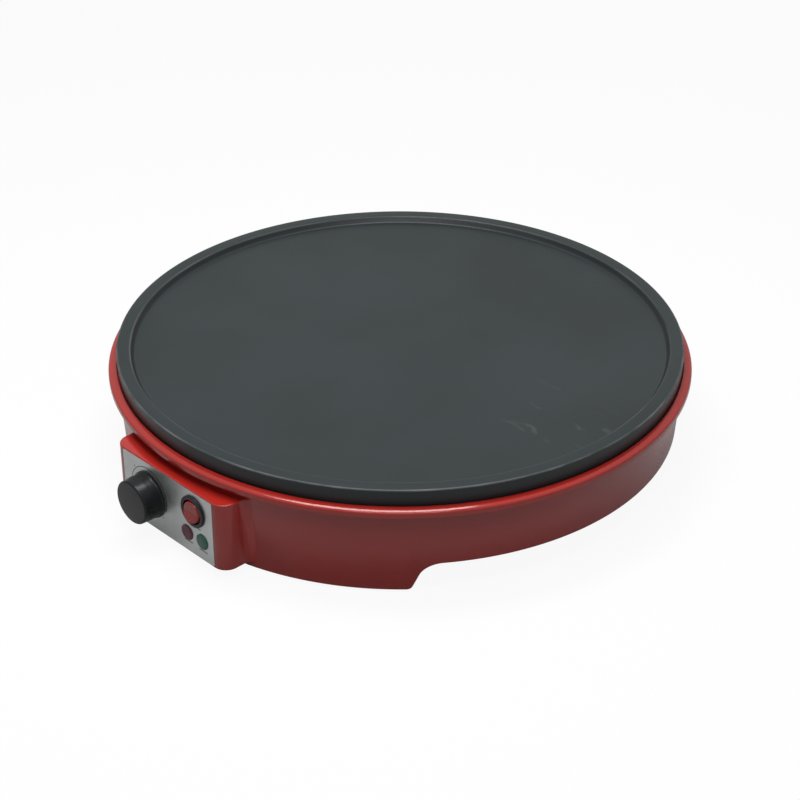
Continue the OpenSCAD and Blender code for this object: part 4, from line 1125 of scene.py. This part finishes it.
def make_dial_print():
    """The heat scale, a short mark at each of its ends, and a plain line under the switch and each lamp."""
    bm = heat_scale()
    # The end marks as distance from the knob's centre and angle, the lines as place and length
    for radius, angle in ((20.6, 135), (19.4, -44)):
        join_into(bm, on_plate(slab(1.5, 0.5, 0.1, 0, INK_T), radius, 0, angle))
    bmesh.ops.recalc_face_normals(bm, faces=bm.faces)
    shifted(bm, -0.55, 1.0, -min(v.co.z for v in bm.verts))
    face_panel(bm, KNOB.x, PANEL_FACE, KNOB.z)
    for x, z, length in ((31.8, 30.8, 4.2), (20.6, 15.8, 8.5), (35.8, 15.2, 8.5)):
        join_into(bm, face_panel(slab(length, 0.7, 0.2, 0, INK_T), x, PANEL_FACE, z))
    shifted(bm, 0, 0.005, 0)
    settle(bm, "dial_print", PRINT_BLACK, "base")


# ---- Finishes on the model's own parts ----

NODE_FINISHES = {
    SILVER: ("control_panel",),
    COVER_BLACK: ("bottom_cover", "gland_nut"),
    RUBBER: ("rubber_feet",),
    ELEMENT: ("heating_element",),
    REFLECTOR: ("heat_reflector", "bulb_clip", "fuse_clip", "element_clamps"),
    COPPER: ("capillary_tube", "sensing_bulb"),
    BRASS: ("thermostat_terminals", "switch_terminals", "terminal_screws", "earth_tag"),
    CERAMIC: ("element_insulators", "thermostat_body", "terminal_block", "lamp_sockets"),
    PALE_GLASS: ("switch_lamp", "lamp_neons"),
    TINNED: ("element_pins", "fuse_leads", "thermal_fuse"),
    STEEL: ("clamp_screws", "reflector_screws", "plate_spacers", "plate_screws", "clip_screws",
            "cover_screws", "thermostat_screws", "thermostat_shaft", "lamp_retainers", "earth_nut"),
}


def dress_nodes():
    """Gives the model's own parts their finishes."""
    for material, nodes in NODE_FINISHES.items():
        for node in nodes:
            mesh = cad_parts[node].data
            mesh.materials.clear()
            mesh.materials.append(material)


make_plate()
make_base()
make_knob()
make_switch()
make_rocker()
make_rocker_marks()
make_lens("red_jewel", "red_lamp_lens", LENS_RED)
make_lens("green_jewel", "green_lamp_lens", LENS_GREEN)
make_inlet()
make_dial_print()
dress_nodes()
